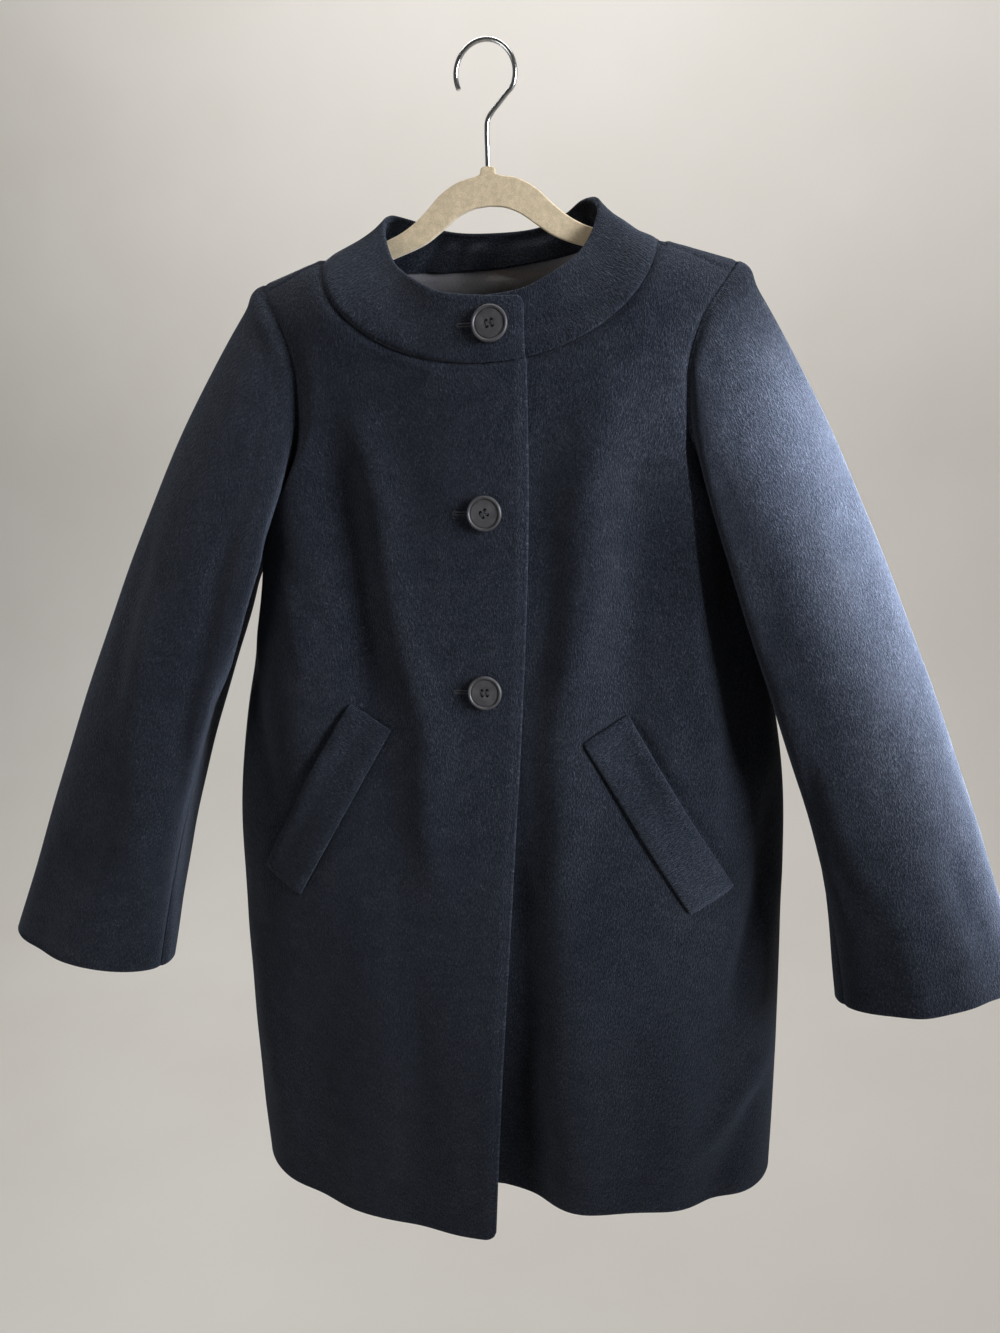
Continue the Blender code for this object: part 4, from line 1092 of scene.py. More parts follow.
def shell(grid, sign, thickness, free, joined=None, cloth=None):
    """Points, faces and cloth coordinates of cloth through a grid: two faces and a rim.

    The rim is round where free is 1 and flat where it is 0. With joined, the first column has
    no rim from that row down, because the other half of the cloth goes on from there.
    """
    rows, columns = grid.shape[:2]
    normals = sign * grid_normals(grid)
    if joined is not None:
        normals[joined:, 0, 0] = 0.0
        normals = unit(normals)
    thickness = np.broadcast_to(thickness, (rows, columns))
    inner = grid - normals * thickness[..., None]
    places = rim_places(rows, columns, joined)
    at = tuple(places.T)
    edge = grid[at]
    if joined is None:
        along = np.roll(edge, -1, axis=0) - np.roll(edge, 1, axis=0)
    else:
        along = np.gradient(edge, axis=0)
    out = unit(np.cross(along, normals[at]))
    check = int(np.flatnonzero((places[:, 0] == rows - 1) & (places[:, 1] == columns // 2))[0])
    out *= np.sign(np.dot(out[check], grid[-1, columns // 2] - grid[-2, columns // 2]))
    half = thickness[at][:, None] / 2.0
    numbers = np.arange(rows * columns).reshape(rows, columns)
    points = [grid.reshape(-1, 3), inner.reshape(-1, 3)]
    cloth = even_cloth(grid) if cloth is None else cloth
    coordinates = [cloth.reshape(-1, 2), cloth.reshape(-1, 2)]
    rings = [numbers[at]]
    for step in range(1, RIM_STEPS + 1):
        angle = math.pi * step / (RIM_STEPS + 1)
        bulge = RIM_BULGE * half * math.sin(angle) * free[at][:, None]
        points.append(edge + normals[at] * half * (math.cos(angle) - 1.0) + out * bulge)
        coordinates.append(cloth[at])
        rings.append(np.arange(len(places)) + 2 * rows * columns + (step - 1) * len(places))
    rings.append(numbers[at] + rows * columns)
    rim = np.array(rings)
    if joined is None:
        rim = np.concatenate([rim, rim[:, :1]], axis=1)
    inner_faces = grid_faces(numbers + rows * columns)[:, ::-1]
    faces = np.concatenate([grid_faces(numbers), inner_faces, grid_faces(rim)[:, ::-1]])
    return np.concatenate(points), faces, np.concatenate(coordinates)


def mesh_from(name, parts, weld=False):
    """Smooth closed mesh of one or more shells, welded along the middle where asked."""
    mesh = bmesh.new()
    for points, faces, coordinates in parts:
        data = bpy.data.meshes.new(name)
        data.from_pydata(points.tolist(), [], faces.tolist())
        layer = data.uv_layers.new(name="cloth")
        corner = np.zeros(len(data.loops), dtype=np.int64)
        data.loops.foreach_get("vertex_index", corner)
        layer.data.foreach_set("uv", coordinates[corner].ravel())
        mesh.from_mesh(data)
        bpy.data.meshes.remove(data)
    if weld:
        middle = [corner for corner in mesh.verts if abs(corner.co.x) < WELD_REACH]
        bmesh.ops.remove_doubles(mesh, verts=middle, dist=WELD_REACH)
    bmesh.ops.recalc_face_normals(mesh, faces=mesh.faces)
    data = bpy.data.meshes.new(name)
    mesh.to_mesh(data)
    mesh.free()
    data.shade_smooth()
    return data


def tube(path, radius, closed=False):
    """Points and faces of a round tube along a path; radius may change along it."""
    path = np.array(path, dtype=float)
    radius = np.broadcast_to(radius, len(path))
    if closed:
        way = unit(np.roll(path, -1, axis=0) - np.roll(path, 1, axis=0))
    else:
        way = unit(np.gradient(path, axis=0))
    across = unit(np.cross(way, np.array(TUBE_ASIDE)))
    over = np.cross(way, across)
    turns = np.linspace(0.0, 2.0 * math.pi, TUBE_SIDES, endpoint=False)
    ring = across[:, None] * np.cos(turns)[:, None] + over[:, None] * np.sin(turns)[:, None]
    points = (path[:, None] + ring * radius[:, None, None]).reshape(-1, 3)
    numbers = np.arange(len(path) * TUBE_SIDES).reshape(len(path), TUBE_SIDES)
    numbers = np.concatenate([numbers, numbers[:, :1]], axis=1)
    if closed:
        numbers = np.concatenate([numbers, numbers[:1]])
    return points, grid_faces(numbers)


def mesh_of_tubes(name, tubes):
    """Smooth mesh of several tubes."""
    points = []
    faces = []
    count = 0
    for tube_points, tube_faces in tubes:
        points.append(tube_points)
        faces.append(tube_faces + count)
        count += len(tube_points)
    data = bpy.data.meshes.new(name)
    data.from_pydata(np.concatenate(points).tolist(), [], np.concatenate(faces).tolist())
    data.shade_smooth()
    return data


def add_piece(name, data, surface, slot, *nodes):
    """Shown piece that moves with the coat and may stand for nodes of the frame."""
    made = bpy.data.objects.new(name, data)
    bpy.context.scene.collection.objects.link(made)
    made.data.materials.append(surface)
    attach(made, "root")
    if nodes:
        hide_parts(*nodes)
    return made


# Materials


def new_material(name, colour, roughness, **values):
    """Material with its shader's own values, and the tools to add nodes to it."""
    made = bpy.data.materials.new(name)
    made.use_nodes = True
    tree = made.node_tree
    shader = tree.nodes["Principled BSDF"]
    shader.inputs["Base Color"].default_value = (*colour, 1.0)
    shader.inputs["Roughness"].default_value = roughness
    for key, value in values.items():
        shader.inputs[key.replace("_", " ")].default_value = value
    return made, tree, shader


def add_noise(tree, source, scale, detail=2.0, turn=0.0, stretch=(1.0, 1.0, 1.0)):
    """Noise over a coordinate, turned and stretched; gives its value."""
    place = tree.nodes.new("ShaderNodeMapping")
    place.inputs["Rotation"].default_value = (0.0, 0.0, turn)
    place.inputs["Scale"].default_value = stretch
    noise = tree.nodes.new("ShaderNodeTexNoise")
    noise.inputs["Scale"].default_value = scale
    noise.inputs["Detail"].default_value = detail
    noise.inputs["Roughness"].default_value = NOISE_ROUGHNESS
    tree.links.new(source, place.inputs["Vector"])
    tree.links.new(place.outputs["Vector"], noise.inputs["Vector"])
    return noise.outputs["Fac"]


def add_ramp(tree, value, *stops):
    """Colours by a value: each stop is a place and a colour."""
    ramp = tree.nodes.new("ShaderNodeValToRGB")
    steps = ramp.color_ramp.elements
    while len(steps) < len(stops):
        steps.new(0.5)
    for step, (place, colour) in zip(steps, stops):
        step.position = place
        step.color = (*colour, 1.0)
    tree.links.new(value, ramp.inputs["Fac"])
    return ramp.outputs["Color"]


def add_math(tree, kind, first, second):
    """Two values worked into one; either may be a plain number."""
    node = tree.nodes.new("ShaderNodeMath")
    node.operation = kind
    for socket, value in zip(node.inputs, (first, second)):
        if isinstance(value, float):
            socket.default_value = value
        else:
            tree.links.new(value, socket)
    return node.outputs["Value"]


def add_product(tree, first, second):
    """One colour multiplied by another."""
    node = tree.nodes.new("ShaderNodeMix")
    node.data_type = "RGBA"
    node.blend_type = "MULTIPLY"
    node.inputs["Factor"].default_value = 1.0
    tree.links.new(first, node.inputs["A"])
    tree.links.new(second, node.inputs["B"])
    return node.outputs["Result"]


def add_bump(tree, shader, height, strength, distance):
    """Small relief from a height."""
    bump = tree.nodes.new("ShaderNodeBump")
    bump.inputs["Strength"].default_value = strength
    bump.inputs["Distance"].default_value = distance
    tree.links.new(height, bump.inputs["Height"])
    tree.links.new(bump.outputs["Normal"], shader.inputs["Normal"])


def finish_surface(tree, shader, colour, height, strength, distance, rough=None):
    """Give a shader its colour and relief; rough holds a value, its share and the least roughness."""
    tree.links.new(colour, shader.inputs["Base Color"])
    add_bump(tree, shader, height, strength, distance)
    if rough:
        value, share, least = rough
        scaled = add_math(tree, "MULTIPLY", value, share)
        tree.links.new(add_math(tree, "ADD", scaled, least), shader.inputs["Roughness"])


def coordinates(tree, name):
    """Texture coordinate of a kind."""
    return tree.nodes.new("ShaderNodeTexCoord").outputs[name]


def wool_material(name, phase):
    """Napped wool: dark ground under short fibres that lie all ways, with brushed patches."""
    made, tree, shader = new_material(
        name, (0.014, 0.016, 0.023), 0.95,
        Sheen_Weight=0.16, Sheen_Roughness=0.45, Sheen_Tint=(0.62, 0.71, 0.90, 1.0), Specular_IOR_Level=0.08,
    )
    cloth = coordinates(tree, "UV")
    fibres = None
    for index, turn in enumerate((0.15, 0.95, 1.75, 2.45)):
        layer = add_noise(tree, cloth, 640.0 + 60.0 * index, turn=turn + phase, stretch=(1.0, 0.40, 1.0))
        fibres = layer if fibres is None else add_math(tree, "MAXIMUM", fibres, layer)
    patches = add_noise(tree, cloth, 60.0, detail=4.0, turn=phase)
    brushed = add_noise(tree, cloth, 15.0, turn=phase + 0.8, stretch=(1.0, 0.55, 1.0))
    ground = add_ramp(tree, fibres, (0.47, (0.0096, 0.0107, 0.0150)), (0.58, (0.0172, 0.0191, 0.0262)),
                      (0.68, (0.0345, 0.0380, 0.0495)), (0.79, (0.0780, 0.0845, 0.1010)))
    tone = add_ramp(tree, patches, (0.30, (0.74, 0.75, 0.77)), (0.70, (1.20, 1.18, 1.16)))
    wear = add_ramp(tree, brushed, (0.35, (0.90, 0.91, 0.94)), (0.68, (1.08, 1.07, 1.05)))
    colour = add_product(tree, ground, tone)
    colour = add_product(tree, colour, wear)
    relief = add_math(tree, "ADD", fibres, add_math(tree, "MULTIPLY", patches, 0.30))
    finish_surface(tree, shader, colour, relief, strength=1.0, distance=0.0036, rough=(fibres, 0.14, 0.84))
    return made


def lining_material():
    """Taupe satin: fine floats along the cloth, a soft gloss and faint slubs."""
    made, tree, shader = new_material("lining_satin", (0.165, 0.150, 0.148), 0.42, Sheen_Weight=0.15)
    cloth = coordinates(tree, "UV")
    floats = add_noise(tree, cloth, 2600.0, stretch=(1.0, 0.12, 1.0))
    slubs = add_noise(tree, cloth, 160.0, detail=3.0, stretch=(0.12, 1.0, 1.0))
    colour = add_ramp(tree, floats, (0.35, (0.160, 0.151, 0.159)), (0.65, (0.262, 0.250, 0.260)))
    tone = add_ramp(tree, slubs, (0.35, (0.90, 0.89, 0.88)), (0.66, (1.06, 1.05, 1.05)))
    colour = add_product(tree, colour, tone)
    finish_surface(tree, shader, colour, floats, strength=0.30, distance=0.0002, rough=(slubs, 0.25, 0.30))
    return made


def button_material():
    """Dark horn: brown clouds and streaks under a worn half gloss."""
    made, tree, shader = new_material(
        "button_horn", (0.06, 0.055, 0.056), 0.40, Coat_Weight=0.08, Coat_Roughness=0.25,
    )
    place = coordinates(tree, "Object")
    clouds = add_noise(tree, place, 140.0, detail=4.0, turn=0.4, stretch=(1.0, 0.4, 1.0))
    scuffs = add_noise(tree, place, 900.0, detail=4.0, turn=1.1, stretch=(1.0, 0.15, 1.0))
    colour = add_ramp(tree, clouds, (0.32, (0.042, 0.038, 0.040)), (0.55, (0.062, 0.057, 0.059)),
                      (0.74, (0.086, 0.078, 0.078)))
    finish_surface(tree, shader, colour, scuffs, strength=0.12, distance=0.0001, rough=(scuffs, 0.30, 0.28))
    return made


def thread_material():
    """Twisted dark sewing thread."""
    made, tree, shader = new_material("thread_twist", (0.012, 0.013, 0.018), 0.7, Sheen_Weight=0.2)
    place = coordinates(tree, "Object")
    twist = add_noise(tree, place, 3000.0, turn=0.7, stretch=(1.0, 0.4, 1.0))
    colour = add_ramp(tree, twist, (0.35, (0.006, 0.0065, 0.009)), (0.68, (0.026, 0.028, 0.036)))
    finish_surface(tree, shader, colour, twist, strength=0.5, distance=0.0002)
    return made


def flock_material():
    """Beige velvet flock: dense short pile with brushed patches."""
    made, tree, shader = new_material(
        "hanger_flock", (0.60, 0.50, 0.39), 0.95,
        Sheen_Weight=0.5, Sheen_Roughness=0.5, Sheen_Tint=(1.0, 0.93, 0.84, 1.0), Specular_IOR_Level=0.15,
    )
    place = coordinates(tree, "Object")
    pile = add_noise(tree, place, 1900.0, detail=3.0)
    patches = add_noise(tree, place, 190.0, detail=5.0, turn=0.5, stretch=(1.0, 1.0, 0.45))
    colour = add_ramp(tree, pile, (0.30, (0.57, 0.43, 0.265)), (0.66, (0.86, 0.69, 0.47)))
    tone = add_ramp(tree, patches, (0.32, (0.86, 0.845, 0.82)), (0.68, (1.08, 1.07, 1.06)))
    finish_surface(tree, shader, add_product(tree, colour, tone), pile, strength=0.6, distance=0.0004)
    return made


def wire_material():
    """Bright drawn steel wire with fine marks along it."""
    made, tree, shader = new_material("hook_steel", (0.75, 0.75, 0.74), 0.2, Metallic=1.0)
    place = coordinates(tree, "Object")
    marks = add_noise(tree, place, 420.0, detail=4.0, stretch=(1.0, 1.0, 0.10))
    colour = add_ramp(tree, marks, (0.34, (0.60, 0.60, 0.60)), (0.66, (0.82, 0.82, 0.81)))
    finish_surface(tree, shader, colour, marks, strength=0.08, distance=0.0001, rough=(marks, 0.22, 0.09))
    return made


def stage_material():
    """Pale matt paper of floor and wall."""
    made, tree, shader = new_material("stage_paper", (0.78, 0.74, 0.69), 0.9)
    grain = add_noise(tree, coordinates(tree, "Object"), 1.2, detail=3.0)
    colour = add_ramp(tree, grain, (0.3, (0.785, 0.755, 0.712)), (0.7, (0.835, 0.812, 0.778)))
    tree.links.new(colour, shader.inputs["Base Color"])
    return made


# Pieces


def hem_thickness(gap):
    """Thickness of the cloth at distances from its turned-up hem."""
    turned_up = 1.0 - smooth_step(HEM_TURN_UP - HEM_STEP, HEM_TURN_UP, gap)
    return CLOTH + (HEM_CLOTH - CLOTH) * turned_up


def body_rim(grid, edge):
    """How round the rim of a body panel is at its edge, side seam, shoulder seam and hem."""
    free = np.zeros(grid.shape[:2])
    free[UNDERARM_ROW:, 0] = edge
    free[UNDERARM_ROW:, -1] = SEAM_SWELL
    free[0] = SEAM_SWELL
    free[-1] = 1.0
    return free


def add_fronts(wool):
    """The two fronts: each one cloth, with a thick turned edge and a turned-up hem."""
    made = {}
    for name in ("front_right", "front_left"):
        sign = SIDE[name]
        grid = rounded_corner(dressed_panel(name, panel_grid(name, FRONT_COLUMNS), sign))
        edge_gap, _, _, hem_gap = edge_distances(grid)
        below_neck = (np.arange(len(grid)) >= UNDERARM_ROW)[:, None]
        turned = below_neck * (1.0 - smooth_step(EDGE_CLOTH_FULL, EDGE_CLOTH_END, edge_gap))
        thickness = np.maximum(CLOTH + (EDGE_CLOTH - CLOTH) * turned, hem_thickness(hem_gap))
        part = shell(grid, sign, thickness, body_rim(grid, 1.0), cloth=panel_cloth(grid))
        data = mesh_from(name + "_cloth", [part])
        made[name] = add_piece(name + "_cloth", data, wool[name], "wool", name, name + "_side")
    return made


def lining_strip(columns, turns):
    """Upper part of the lining, on the inside of the neck band's back below the facing."""
    behind = np.flatnonzero(turns > LINING_STRIP_TURN)
    strip = columns[:, behind]
    high = facing_low(columns, turns)[behind] + LINING_STRIP_LAP
    below = strip[:1] - np.array([0.0, 0.0, LINING_LAP])
    grid = np.concatenate([below, strip[:1], band_rows(strip, 0.0, high, LINING_STRIP_ROWS)])
    height = np.linalg.norm(grid - strip[:1], axis=2)
    height[0] = 0.0
    inward = LINING_STEP * (1.0 - smooth_step(0.0, LINING_STEP_END, height))
    grid = grid - grid_normals(grid) * (BAND_CLOTH + SEAM_GAP + inward)[..., None]
    return shell(grid, 1.0, SEAM_GAP, np.ones(grid.shape[:2]))


def add_back(wool, lining, columns, turns):
    """The back, one cloth, and the lining inside it with soft ripples."""
    parts = []
    lining_parts = [lining_strip(columns, turns)]
    lining_first = int(np.searchsorted(SEAM_SHARES, LINING_FIRST_SHARE))
    for side in (-1.0, 1.0):
        plain = panel_grid("back", BACK_COLUMNS, side)
        grid = dressed_panel("back", plain, -side)
        grid[UNDERARM_ROW:, 0, 0] = 0.0
        thickness = hem_thickness(edge_distances(grid)[3])
        rim = body_rim(grid, 0.0)
        parts.append(shell(grid, -side, thickness, rim, UNDERARM_ROW, panel_cloth(grid)))
        inside = plain[lining_first:-LINING_SHORT_ROWS, :-LINING_SHORT_COLUMNS:LINING_STRIDE]
        across = inside[..., 0]
        drop = SHOULDER_Z - inside[..., 2]
        waver = LINING_WAVER_SHARE * wave_at(LINING_WAVER, across, drop)
        ripple = LINING_RIPPLE * (1.0 + wave_at(LINING_WAVE, across, drop, waver))
        away = smooth_step(0.0, LINING_EASE_END, neck_distance("back", across, drop))
        depth = CLOTH + LINING_GAP + (LINING_EASE + ripple) * away
        hem = smooth_step(0.0, LINING_HEM_EASE_END, HEM_DROP["back"] - drop)
        inside = inside + side * grid_normals(inside) * (depth + LINING_HEM_EASE * (1.0 - hem))[..., None]
        joined = UNDERARM_ROW - lining_first
        inside[joined:, 0, 0] = 0.0
        whole = np.ones(inside.shape[:2])
        lining_parts.append(shell(inside, -side, LINING_CLOTH, whole, joined, panel_cloth(inside)))
    back = add_piece("back_cloth", mesh_from("back_cloth", parts, True), wool["back"], "wool", "back")
    data = mesh_from("back_lining_cloth", lining_parts, True)
    return back, add_piece("back_lining_cloth", data, lining, "lining", "back_lining")


def add_band(wool, columns, turns):
    """The neck band with its thick turned edge, and the facing inside it."""
    top = band_top(columns)
    band = np.concatenate([columns[:1], band_rows(columns, 0.0, top, BAND_ROWS + 1)])
    left, right, foot_gap, top_gap = edge_distances(band)
    end_gap = np.minimum(left, right)
    lift = -SEAM_DIP * bell(foot_gap, SEAM_DIP_WIDTH)
    lift -= EDGE_ROLL * (1.0 - smooth_step(0.0, EDGE_ROLL_WIDTH, end_gap))
    lift += uneven_lift(BAND_UNEVEN, left, foot_gap) * smooth_step(0.0, BAND_UNEVEN_FADE, foot_gap)
    outer = band + grid_normals(band) * lift[..., None]
    turned = 1.0 - smooth_step(BAND_EDGE_FULL, BAND_EDGE_END, np.minimum(end_gap, top_gap))
    thickness = BAND_CLOTH + (BAND_EDGE_CLOTH - BAND_CLOTH) * turned
    free = np.zeros(band.shape[:2])
    free[-1] = 1.0
    free[:, 0] = 1.0
    free[:, -1] = 1.0
    data = mesh_from("collar_cloth", [shell(outer, 1.0, thickness, free)])
    collar = add_piece("collar_cloth", data, wool["collar"], "wool", "collar")
    inner = band_rows(columns, facing_low(columns, turns), top - FACING_EDGE, BAND_ROWS)
    inner = inner[:, FACING_SHORT_COLUMNS:-FACING_SHORT_COLUMNS]
    to_edge = edge_distances(inner)[3]
    along = even_cloth(inner)[..., 0]
    waver = FACING_WAVER_SHARE * wave_at(FACING_WAVER, along, to_edge)
    ripple = FACING_RIPPLE * (1.0 + wave_at(FACING_WAVE, along, to_edge, waver))
    depth = BAND_CLOTH + FACING_GAP + ripple * smooth_step(0.0, FACING_RIPPLE_FADE, to_edge)
    inner = inner - grid_normals(inner) * depth[..., None]
    data = mesh_from("collar_facing_cloth", [shell(inner, 1.0, FACING_CLOTH, np.ones(inner.shape[:2]))])
    return collar, add_piece("collar_facing_cloth", data, wool["facing"], "wool", "collar_facing")


def add_sleeves(wool):
    """The two sleeves, each one cloth that closes in a seam, with turned-up cuffs."""
    made = {}
    for name, cuff in CUFFS.items():
        grid = dressed_sleeve(name, cuff)
        thickness = hem_thickness(edge_distances(grid)[3])
        free = np.zeros(grid.shape[:2])
        free[-1] = 1.0
        data = mesh_from(name + "_cloth", [shell(grid, -cuff.side, thickness, free)])
        made[name] = add_piece(name + "_cloth", data, wool[name], "wool", name)
    return made


def add_welts(wool):
    """The two pocket welts."""
    made = {}
    for panel in WELT_DROP:
        name = panel.replace("front", "welt")
        grid = welt_grid(panel)
        part = shell(grid, -SIDE[panel], WELT_CLOTH, np.ones(grid.shape[:2]))
        data = mesh_from(name + "_cloth", [part])
        made[name] = add_piece(name + "_cloth", data, wool[name], "wool", name)
    return made


def seat_frame(point, beside, below):
    """Place and directions of a round piece that lies on the cloth."""
    right = Vector(beside - point).normalized()
    out = Vector(below - point).cross(right).normalized()
    frame = Matrix((right, out.cross(right), out)).transposed().to_4x4()
    return Matrix.Translation(point) @ frame


def button_frame(button, on_band):
    """Seat of a button: on the neck band at the top, on the lapping front below."""
    across = -button.across
    beside = across - SEAT_STEP
    if not on_band:
        spots = [(across, button.drop), (beside, button.drop), (across, button.drop + SEAT_STEP)]
        return seat_frame(*[hung(front_points("front_right", *spot)) for spot in spots])
    share = BUTTON_BAND_SHARE
    points = []
    for place, up in ((across, share), (beside, share), (across, share - SEAT_STEP_SHARE)):
        column = band_column("front_right", math.asin(place / NECK_HALF), 1.0)
        points.append(band_line(*column, up))
    return seat_frame(*points)


def cloth_tree(piece):
    """Search tree over a piece's faces."""
    corners = [corner.co for corner in piece.data.vertices]
    return BVHTree.FromPolygons(corners, [face.vertices[:] for face in piece.data.polygons])


def laid_point(tree, frame, x, y, lift):
    """Point of the cloth under a place of a frame, lifted a little off it."""
    out = frame.col[2].xyz
    hit = tree.ray_cast(frame @ Vector((x, y, 0.0)) + out * BUTTON_RADIUS, -out)
    return hit[0] + out * lift


def settled(frame, tree):
    """Frame of a button, moved along its axis until it lies just clear of the cloth."""
    out = frame.col[2].xyz
    heights = []
    for reach in SEAT_REACHES:
        for angle in np.linspace(0.0, 2.0 * math.pi, SEAT_STEPS, endpoint=False):
            x = reach * math.cos(angle) * BUTTON_RADIUS
            y = reach * math.sin(angle) * BUTTON_RADIUS
            heights.append((laid_point(tree, frame, x, y, 0.0) - frame.translation).dot(out))
    return Matrix.Translation(out * (SEAM_GAP + max(heights))) @ frame


def button_mesh(name):
    """Turned button with a raised rim, a groove inside it and four holes."""
    mesh = bmesh.new()
    corners = []
    for reach, level in BUTTON_PROFILE:
        corners.append(mesh.verts.new((reach * BUTTON_RADIUS, 0.0, level * BUTTON_HEIGHT)))
    edges = [mesh.edges.new(pair) for pair in zip(corners, corners[1:])]
    bmesh.ops.spin(
        mesh, geom=corners + edges, axis=(0.0, 0.0, 1.0), cent=(0.0, 0.0, 0.0),
        angle=2.0 * math.pi, steps=BUTTON_STEPS,
    )
    bmesh.ops.remove_doubles(mesh, verts=mesh.verts, dist=1e-6)
    bmesh.ops.recalc_face_normals(mesh, faces=mesh.faces)
    data = bpy.data.meshes.new(name)
    mesh.to_mesh(data)
    mesh.free()
    holes = bmesh.new()
    for x, y in hole_places():
        bmesh.ops.create_cone(
            holes, cap_ends=True, segments=BUTTON_HOLE_STEPS,
            radius1=BUTTON_HOLE_RADIUS, radius2=BUTTON_HOLE_RADIUS, depth=BUTTON_DRILL,
            matrix=Matrix.Translation((x, y, BUTTON_HEIGHT / 2.0)),
        )
    hole_data = bpy.data.meshes.new(name + "_holes")
    holes.to_mesh(hole_data)
    holes.free()
    turned = bpy.data.objects.new(name + "_turned", data)
    drill = bpy.data.objects.new(name + "_drill", hole_data)
    for item in (turned, drill):
        bpy.context.scene.collection.objects.link(item)
    cut = turned.modifiers.new("holes", "BOOLEAN")
    cut.operation = "DIFFERENCE"
    cut.object = drill
    drilled = bpy.data.meshes.new_from_object(turned.evaluated_get(bpy.context.evaluated_depsgraph_get()))
    for item in (turned, drill):
        bpy.data.objects.remove(item, do_unlink=True)
    drilled.shade_smooth()
    drilled.set_sharp_from_angle(angle=BUTTON_SHARP)
    return drilled


def hole_places():
    """Middles of a button's four holes."""
    angles = [math.pi / 4.0 + corner * math.pi / 2.0 for corner in range(4)]
    return [(BUTTON_HOLE_REACH * math.cos(angle), BUTTON_HOLE_REACH * math.sin(angle)) for angle in angles]


def button_threads(frame):
    """Thread between the holes of a button, in two pairs of strands."""
    places = hole_places()
    tubes = []
    for first, second in ((places[0], places[3]), (places[1], places[2])):
        for shift in (-BUTTON_THREAD, BUTTON_THREAD):
            path = []
            for share in np.linspace(0.0, 1.0, THREAD_STEPS):
                arch = math.sin(math.pi * share) ** 0.5
                x = first[0] + (second[0] - first[0]) * share + shift
                y = first[1] + (second[1] - first[1]) * share
                path.append(frame @ Vector((x, y, BUTTON_HEIGHT * (THREAD_FOOT + THREAD_ARCH * arch))))
            tubes.append(tube(path, BUTTON_THREAD))
    return tubes


def buttonhole(frame, tree):
    """Purl stitches round a buttonhole that runs from under its button away from the edge."""
    straight = np.linspace(0.0, -BUTTONHOLE_REACH, BUTTONHOLE_STEPS)
    turn = np.linspace(0.0, math.pi, BUTTONHOLE_BOW_STEPS)[1:-1]
    bow = [(BUTTONHOLE_HALF * math.sin(angle), BUTTONHOLE_HALF * math.cos(angle)) for angle in turn]
    spots = [(x, BUTTONHOLE_HALF) for x in straight]
    spots += [(-BUTTONHOLE_REACH - x, y) for x, y in bow]
    spots += [(x, -BUTTONHOLE_HALF) for x in straight[::-1]]
    spots += [(x, -y) for x, y in bow]
    path = [laid_point(tree, frame, x, y, BUTTONHOLE_LIFT) for x, y in spots]
    beads = BUTTONHOLE_BEAD * (1.0 + BUTTONHOLE_BEADING * np.sin(np.arange(len(path)) * math.pi / 2.0))
    return tube(path, beads, closed=True)


def add_buttons(collar, front, horn, thread):
    """The three buttons with their threads and buttonholes."""
    holes = []
    strands = []
    for button in BUTTONS:
        on_band = button.drop < NECK_SCOOP_FRONT + shoulder_drop(NECK_HALF)
        tree = cloth_tree(collar if on_band else front)
        frame = button_frame(button, on_band)
        holes.append(buttonhole(frame, tree))
        frame = settled(frame, tree) @ Matrix.Rotation(button.turned, 4, "Z")
        strands += button_threads(frame)
        data = button_mesh(button.name)
        data.transform(frame)
        add_piece(button.name + "_horn", data, horn, "button", button.name)
    add_piece("button_threads", mesh_of_tubes("button_threads", strands), thread, "wool")
    add_piece("buttonhole_stitches", mesh_of_tubes("buttonhole_stitches", holes), thread, "wool")


def bar_outline():
    """Outline of the hanger's bar in its own plane, all the way round."""
    across = np.linspace(NUB_HALF + NUB_GAP, BAR[-1].across, BAR_STEPS)
    top = list(zip(across, column_at(BAR, "top", across)))
    bottom = list(zip(across, column_at(BAR, "bottom", across)))
    seam_inside = shoulder_drop(BAR_END) + CLOTH * math.hypot(1.0, SHOULDER_SLOPE)
    middle = -seam_inside - BAR_GAP - BAR_END_HALF
    for angle in np.linspace(BAR_TIP_TURN, -BAR_TIP_TURN, BAR_TIP_STEPS):
        place = math.radians(angle)
        reach = BAR_END - BAR_TIP + BAR_TIP * math.cos(place)
        top.append((reach, middle + BAR_END_HALF * math.sin(place)))
    half = list(NUB_EDGE) + top + bottom[::-1]
    return half + [(0.0, BAR[0].bottom)] + [(-x, z) for x, z in half[::-1]]


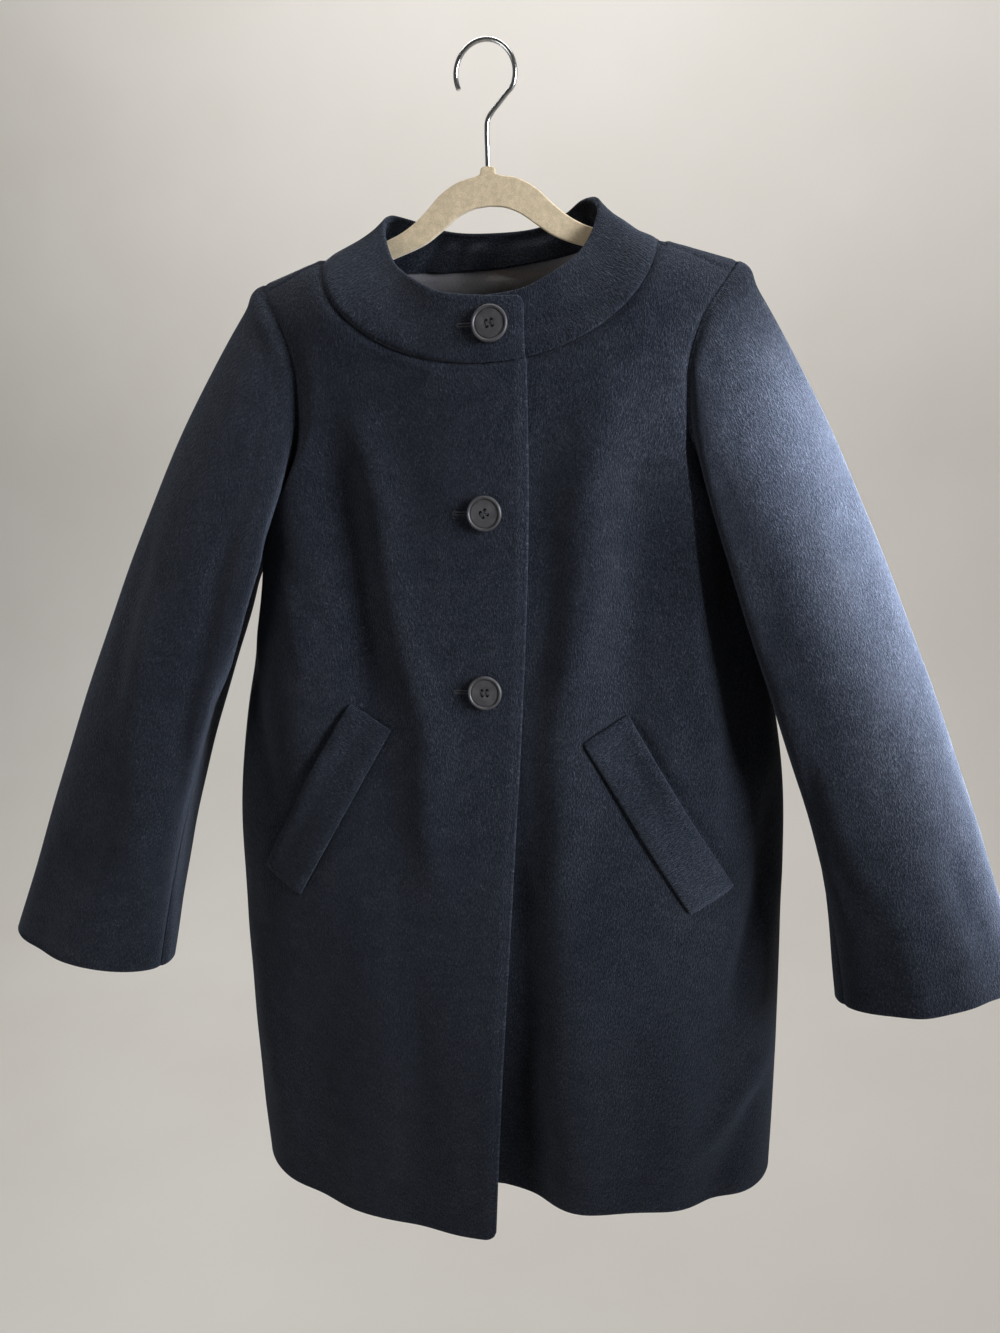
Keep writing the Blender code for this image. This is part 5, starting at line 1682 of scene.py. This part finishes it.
def add_hanger(flock, steel):
    """Flocked bar and wire hook of the hanger."""
    curve = bpy.data.curves.new("hanger_bar_flock", "CURVE")
    curve.dimensions = "2D"
    curve.fill_mode = "BOTH"
    curve.extrude = HANGER_THICK / 2.0 - HANGER_ROUND
    curve.bevel_depth = HANGER_ROUND
    curve.bevel_resolution = HANGER_ROUND_STEPS
    curve.offset = -HANGER_ROUND
    outline = bar_outline()
    line = curve.splines.new("POLY")
    line.points.add(len(outline) - 1)
    for point, (x, z) in zip(line.points, outline):
        point.co = (x, z, 0.0, 1.0)
    line.use_cyclic_u = True
    bar = add_piece("hanger_bar_flock", curve, flock, "flock", "hanger_bar")
    bar.matrix_world = Matrix.Translation((0.0, 0.0, SHOULDER_Z)) @ Matrix.Rotation(math.pi / 2.0, 4, "X")

    centre = -HOOK_RADIUS + WIRE_RADIUS
    foot = SHOULDER_Z + NUB_TOP + SEAM_GAP
    bow = []
    for angle in np.linspace(HOOK_START, HOOK_END, HOOK_STEPS):
        bow.append((HOOK_RADIUS * math.cos(angle), centre + HOOK_RADIUS * math.sin(angle)))
    bends = [(x, foot + up) for x, up in HOOK_BENDS]
    x, z = HOOK_SLANT[0], foot + HOOK_SLANT[1]
    bends += [(x + (bow[0][0] - x) * share, z + (bow[0][1] - z) * share) for share in HOOK_SLANT_SHARES]
    bends += bow
    wire = bpy.data.curves.new("hanger_hook_wire", "CURVE")
    wire.dimensions = "3D"
    wire.bevel_depth = WIRE_RADIUS
    wire.bevel_resolution = WIRE_STEPS
    wire.use_fill_caps = True
    wire.resolution_u = WIRE_STEPS
    line = wire.splines.new("BEZIER")
    line.bezier_points.add(len(bends) - 1)
    for point, (x, z) in zip(line.bezier_points, bends):
        point.co = (x, 0.0, z)
        point.handle_left_type = "AUTO"
        point.handle_right_type = "AUTO"
    add_piece("hanger_hook_wire", wire, steel, "wire", "hanger_hook")


# Stage, light and camera


def add_stage():
    """Pale floor that rises into a wall behind the coat."""
    profile = [(STAGE_FRONT, STAGE_FLOOR)]
    for angle in np.linspace(0.0, math.pi / 2.0, STAGE_BEND_STEPS):
        y = STAGE_BEND_START + STAGE_BEND * math.sin(angle)
        profile.append((y, STAGE_FLOOR + STAGE_BEND * (1.0 - math.cos(angle))))
    profile.append((STAGE_BEND_START + STAGE_BEND, STAGE_TOP))
    points = [(x, y, z) for y, z in profile for x in (-STAGE_HALF, STAGE_HALF)]
    faces = [(i, i + 1, i + 3, i + 2) for i in range(0, len(points) - 2, 2)]
    data = bpy.data.meshes.new("stage_sweep")
    data.from_pydata(points, [], faces)
    data.shade_smooth()
    sweep = bpy.data.objects.new("stage_sweep", data)
    bpy.context.scene.collection.objects.link(sweep)
    data.materials.append(stage_material())


def add_lights(cloth):
    """Soft lamps that each face a point, some for the cloth alone, and the dim light of the room."""
    lit = bpy.data.collections.new("lit_cloth")
    for piece in cloth:
        lit.objects.link(piece)
    for light in LIGHTS:
        lamp = bpy.data.lights.new(light.name, "AREA")
        lamp.shape = "RECTANGLE"
        lamp.size, lamp.size_y = light.size
        lamp.spread = math.radians(light.spread)
        lamp.energy = light.power
        lamp.color = light.colour
        made = bpy.data.objects.new(light.name, lamp)
        bpy.context.scene.collection.objects.link(made)
        made.location = light.place
        way = Vector(light.target) - Vector(light.place)
        made.rotation_euler = way.to_track_quat("-Z", "Y").to_euler()
        made.rotation_euler.rotate_axis("Z", math.radians(light.roll))
        made.visible_camera = False
        if light.cloth_alone:
            made.light_linking.receiver_collection = lit
    world = bpy.data.worlds.new("room")
    world.use_nodes = True
    back = world.node_tree.nodes["Background"]
    back.inputs["Color"].default_value = (*ROOM_COLOUR, 1.0)
    back.inputs["Strength"].default_value = ROOM_STRENGTH
    bpy.context.scene.world = world
    bpy.context.scene.view_settings.view_transform = "Standard"


def add_camera():
    """Camera at the photograph's angle."""
    back = np.array([
        math.sin(CAMERA_TURN) * math.cos(CAMERA_PITCH),
        -math.cos(CAMERA_TURN) * math.cos(CAMERA_PITCH),
        math.sin(CAMERA_PITCH),
    ])
    level = np.array([math.cos(CAMERA_TURN), math.sin(CAMERA_TURN), 0.0])
    upright = np.cross(level, -back)
    right = math.cos(CAMERA_ROLL) * level + math.sin(CAMERA_ROLL) * upright
    up = -math.sin(CAMERA_ROLL) * level + math.cos(CAMERA_ROLL) * upright
    data = bpy.data.cameras.new("camera")
    data.lens = CAMERA_LENS
    data.sensor_width = CAMERA_SENSOR
    made = bpy.data.objects.new("camera", data)
    bpy.context.scene.collection.objects.link(made)
    turned = Matrix((right, up, back)).transposed().to_4x4()
    made.matrix_world = Matrix.Translation(CAMERA_PLACE) @ turned
    bpy.context.scene.camera = made


def build():
    """Make every shown piece, the stage, the light and the camera."""
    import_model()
    wool = {}
    for index, name in enumerate(WOOL_PIECES):
        wool[name] = wool_material(name + "_wool", WOOL_TURN * index)
    pieces = add_fronts(wool)
    columns, turns = band_columns()
    pieces["back"], pieces["back_lining"] = add_back(wool, lining_material(), columns, turns)
    pieces["collar"], pieces["collar_facing"] = add_band(wool, columns, turns)
    pieces.update(add_sleeves(wool))
    pieces.update(add_welts(wool))
    add_buttons(pieces["collar"], pieces["front_right"], button_material(), thread_material())
    add_hanger(flock_material(), wire_material())
    add_stage()
    add_lights(pieces.values())
    add_camera()


build()
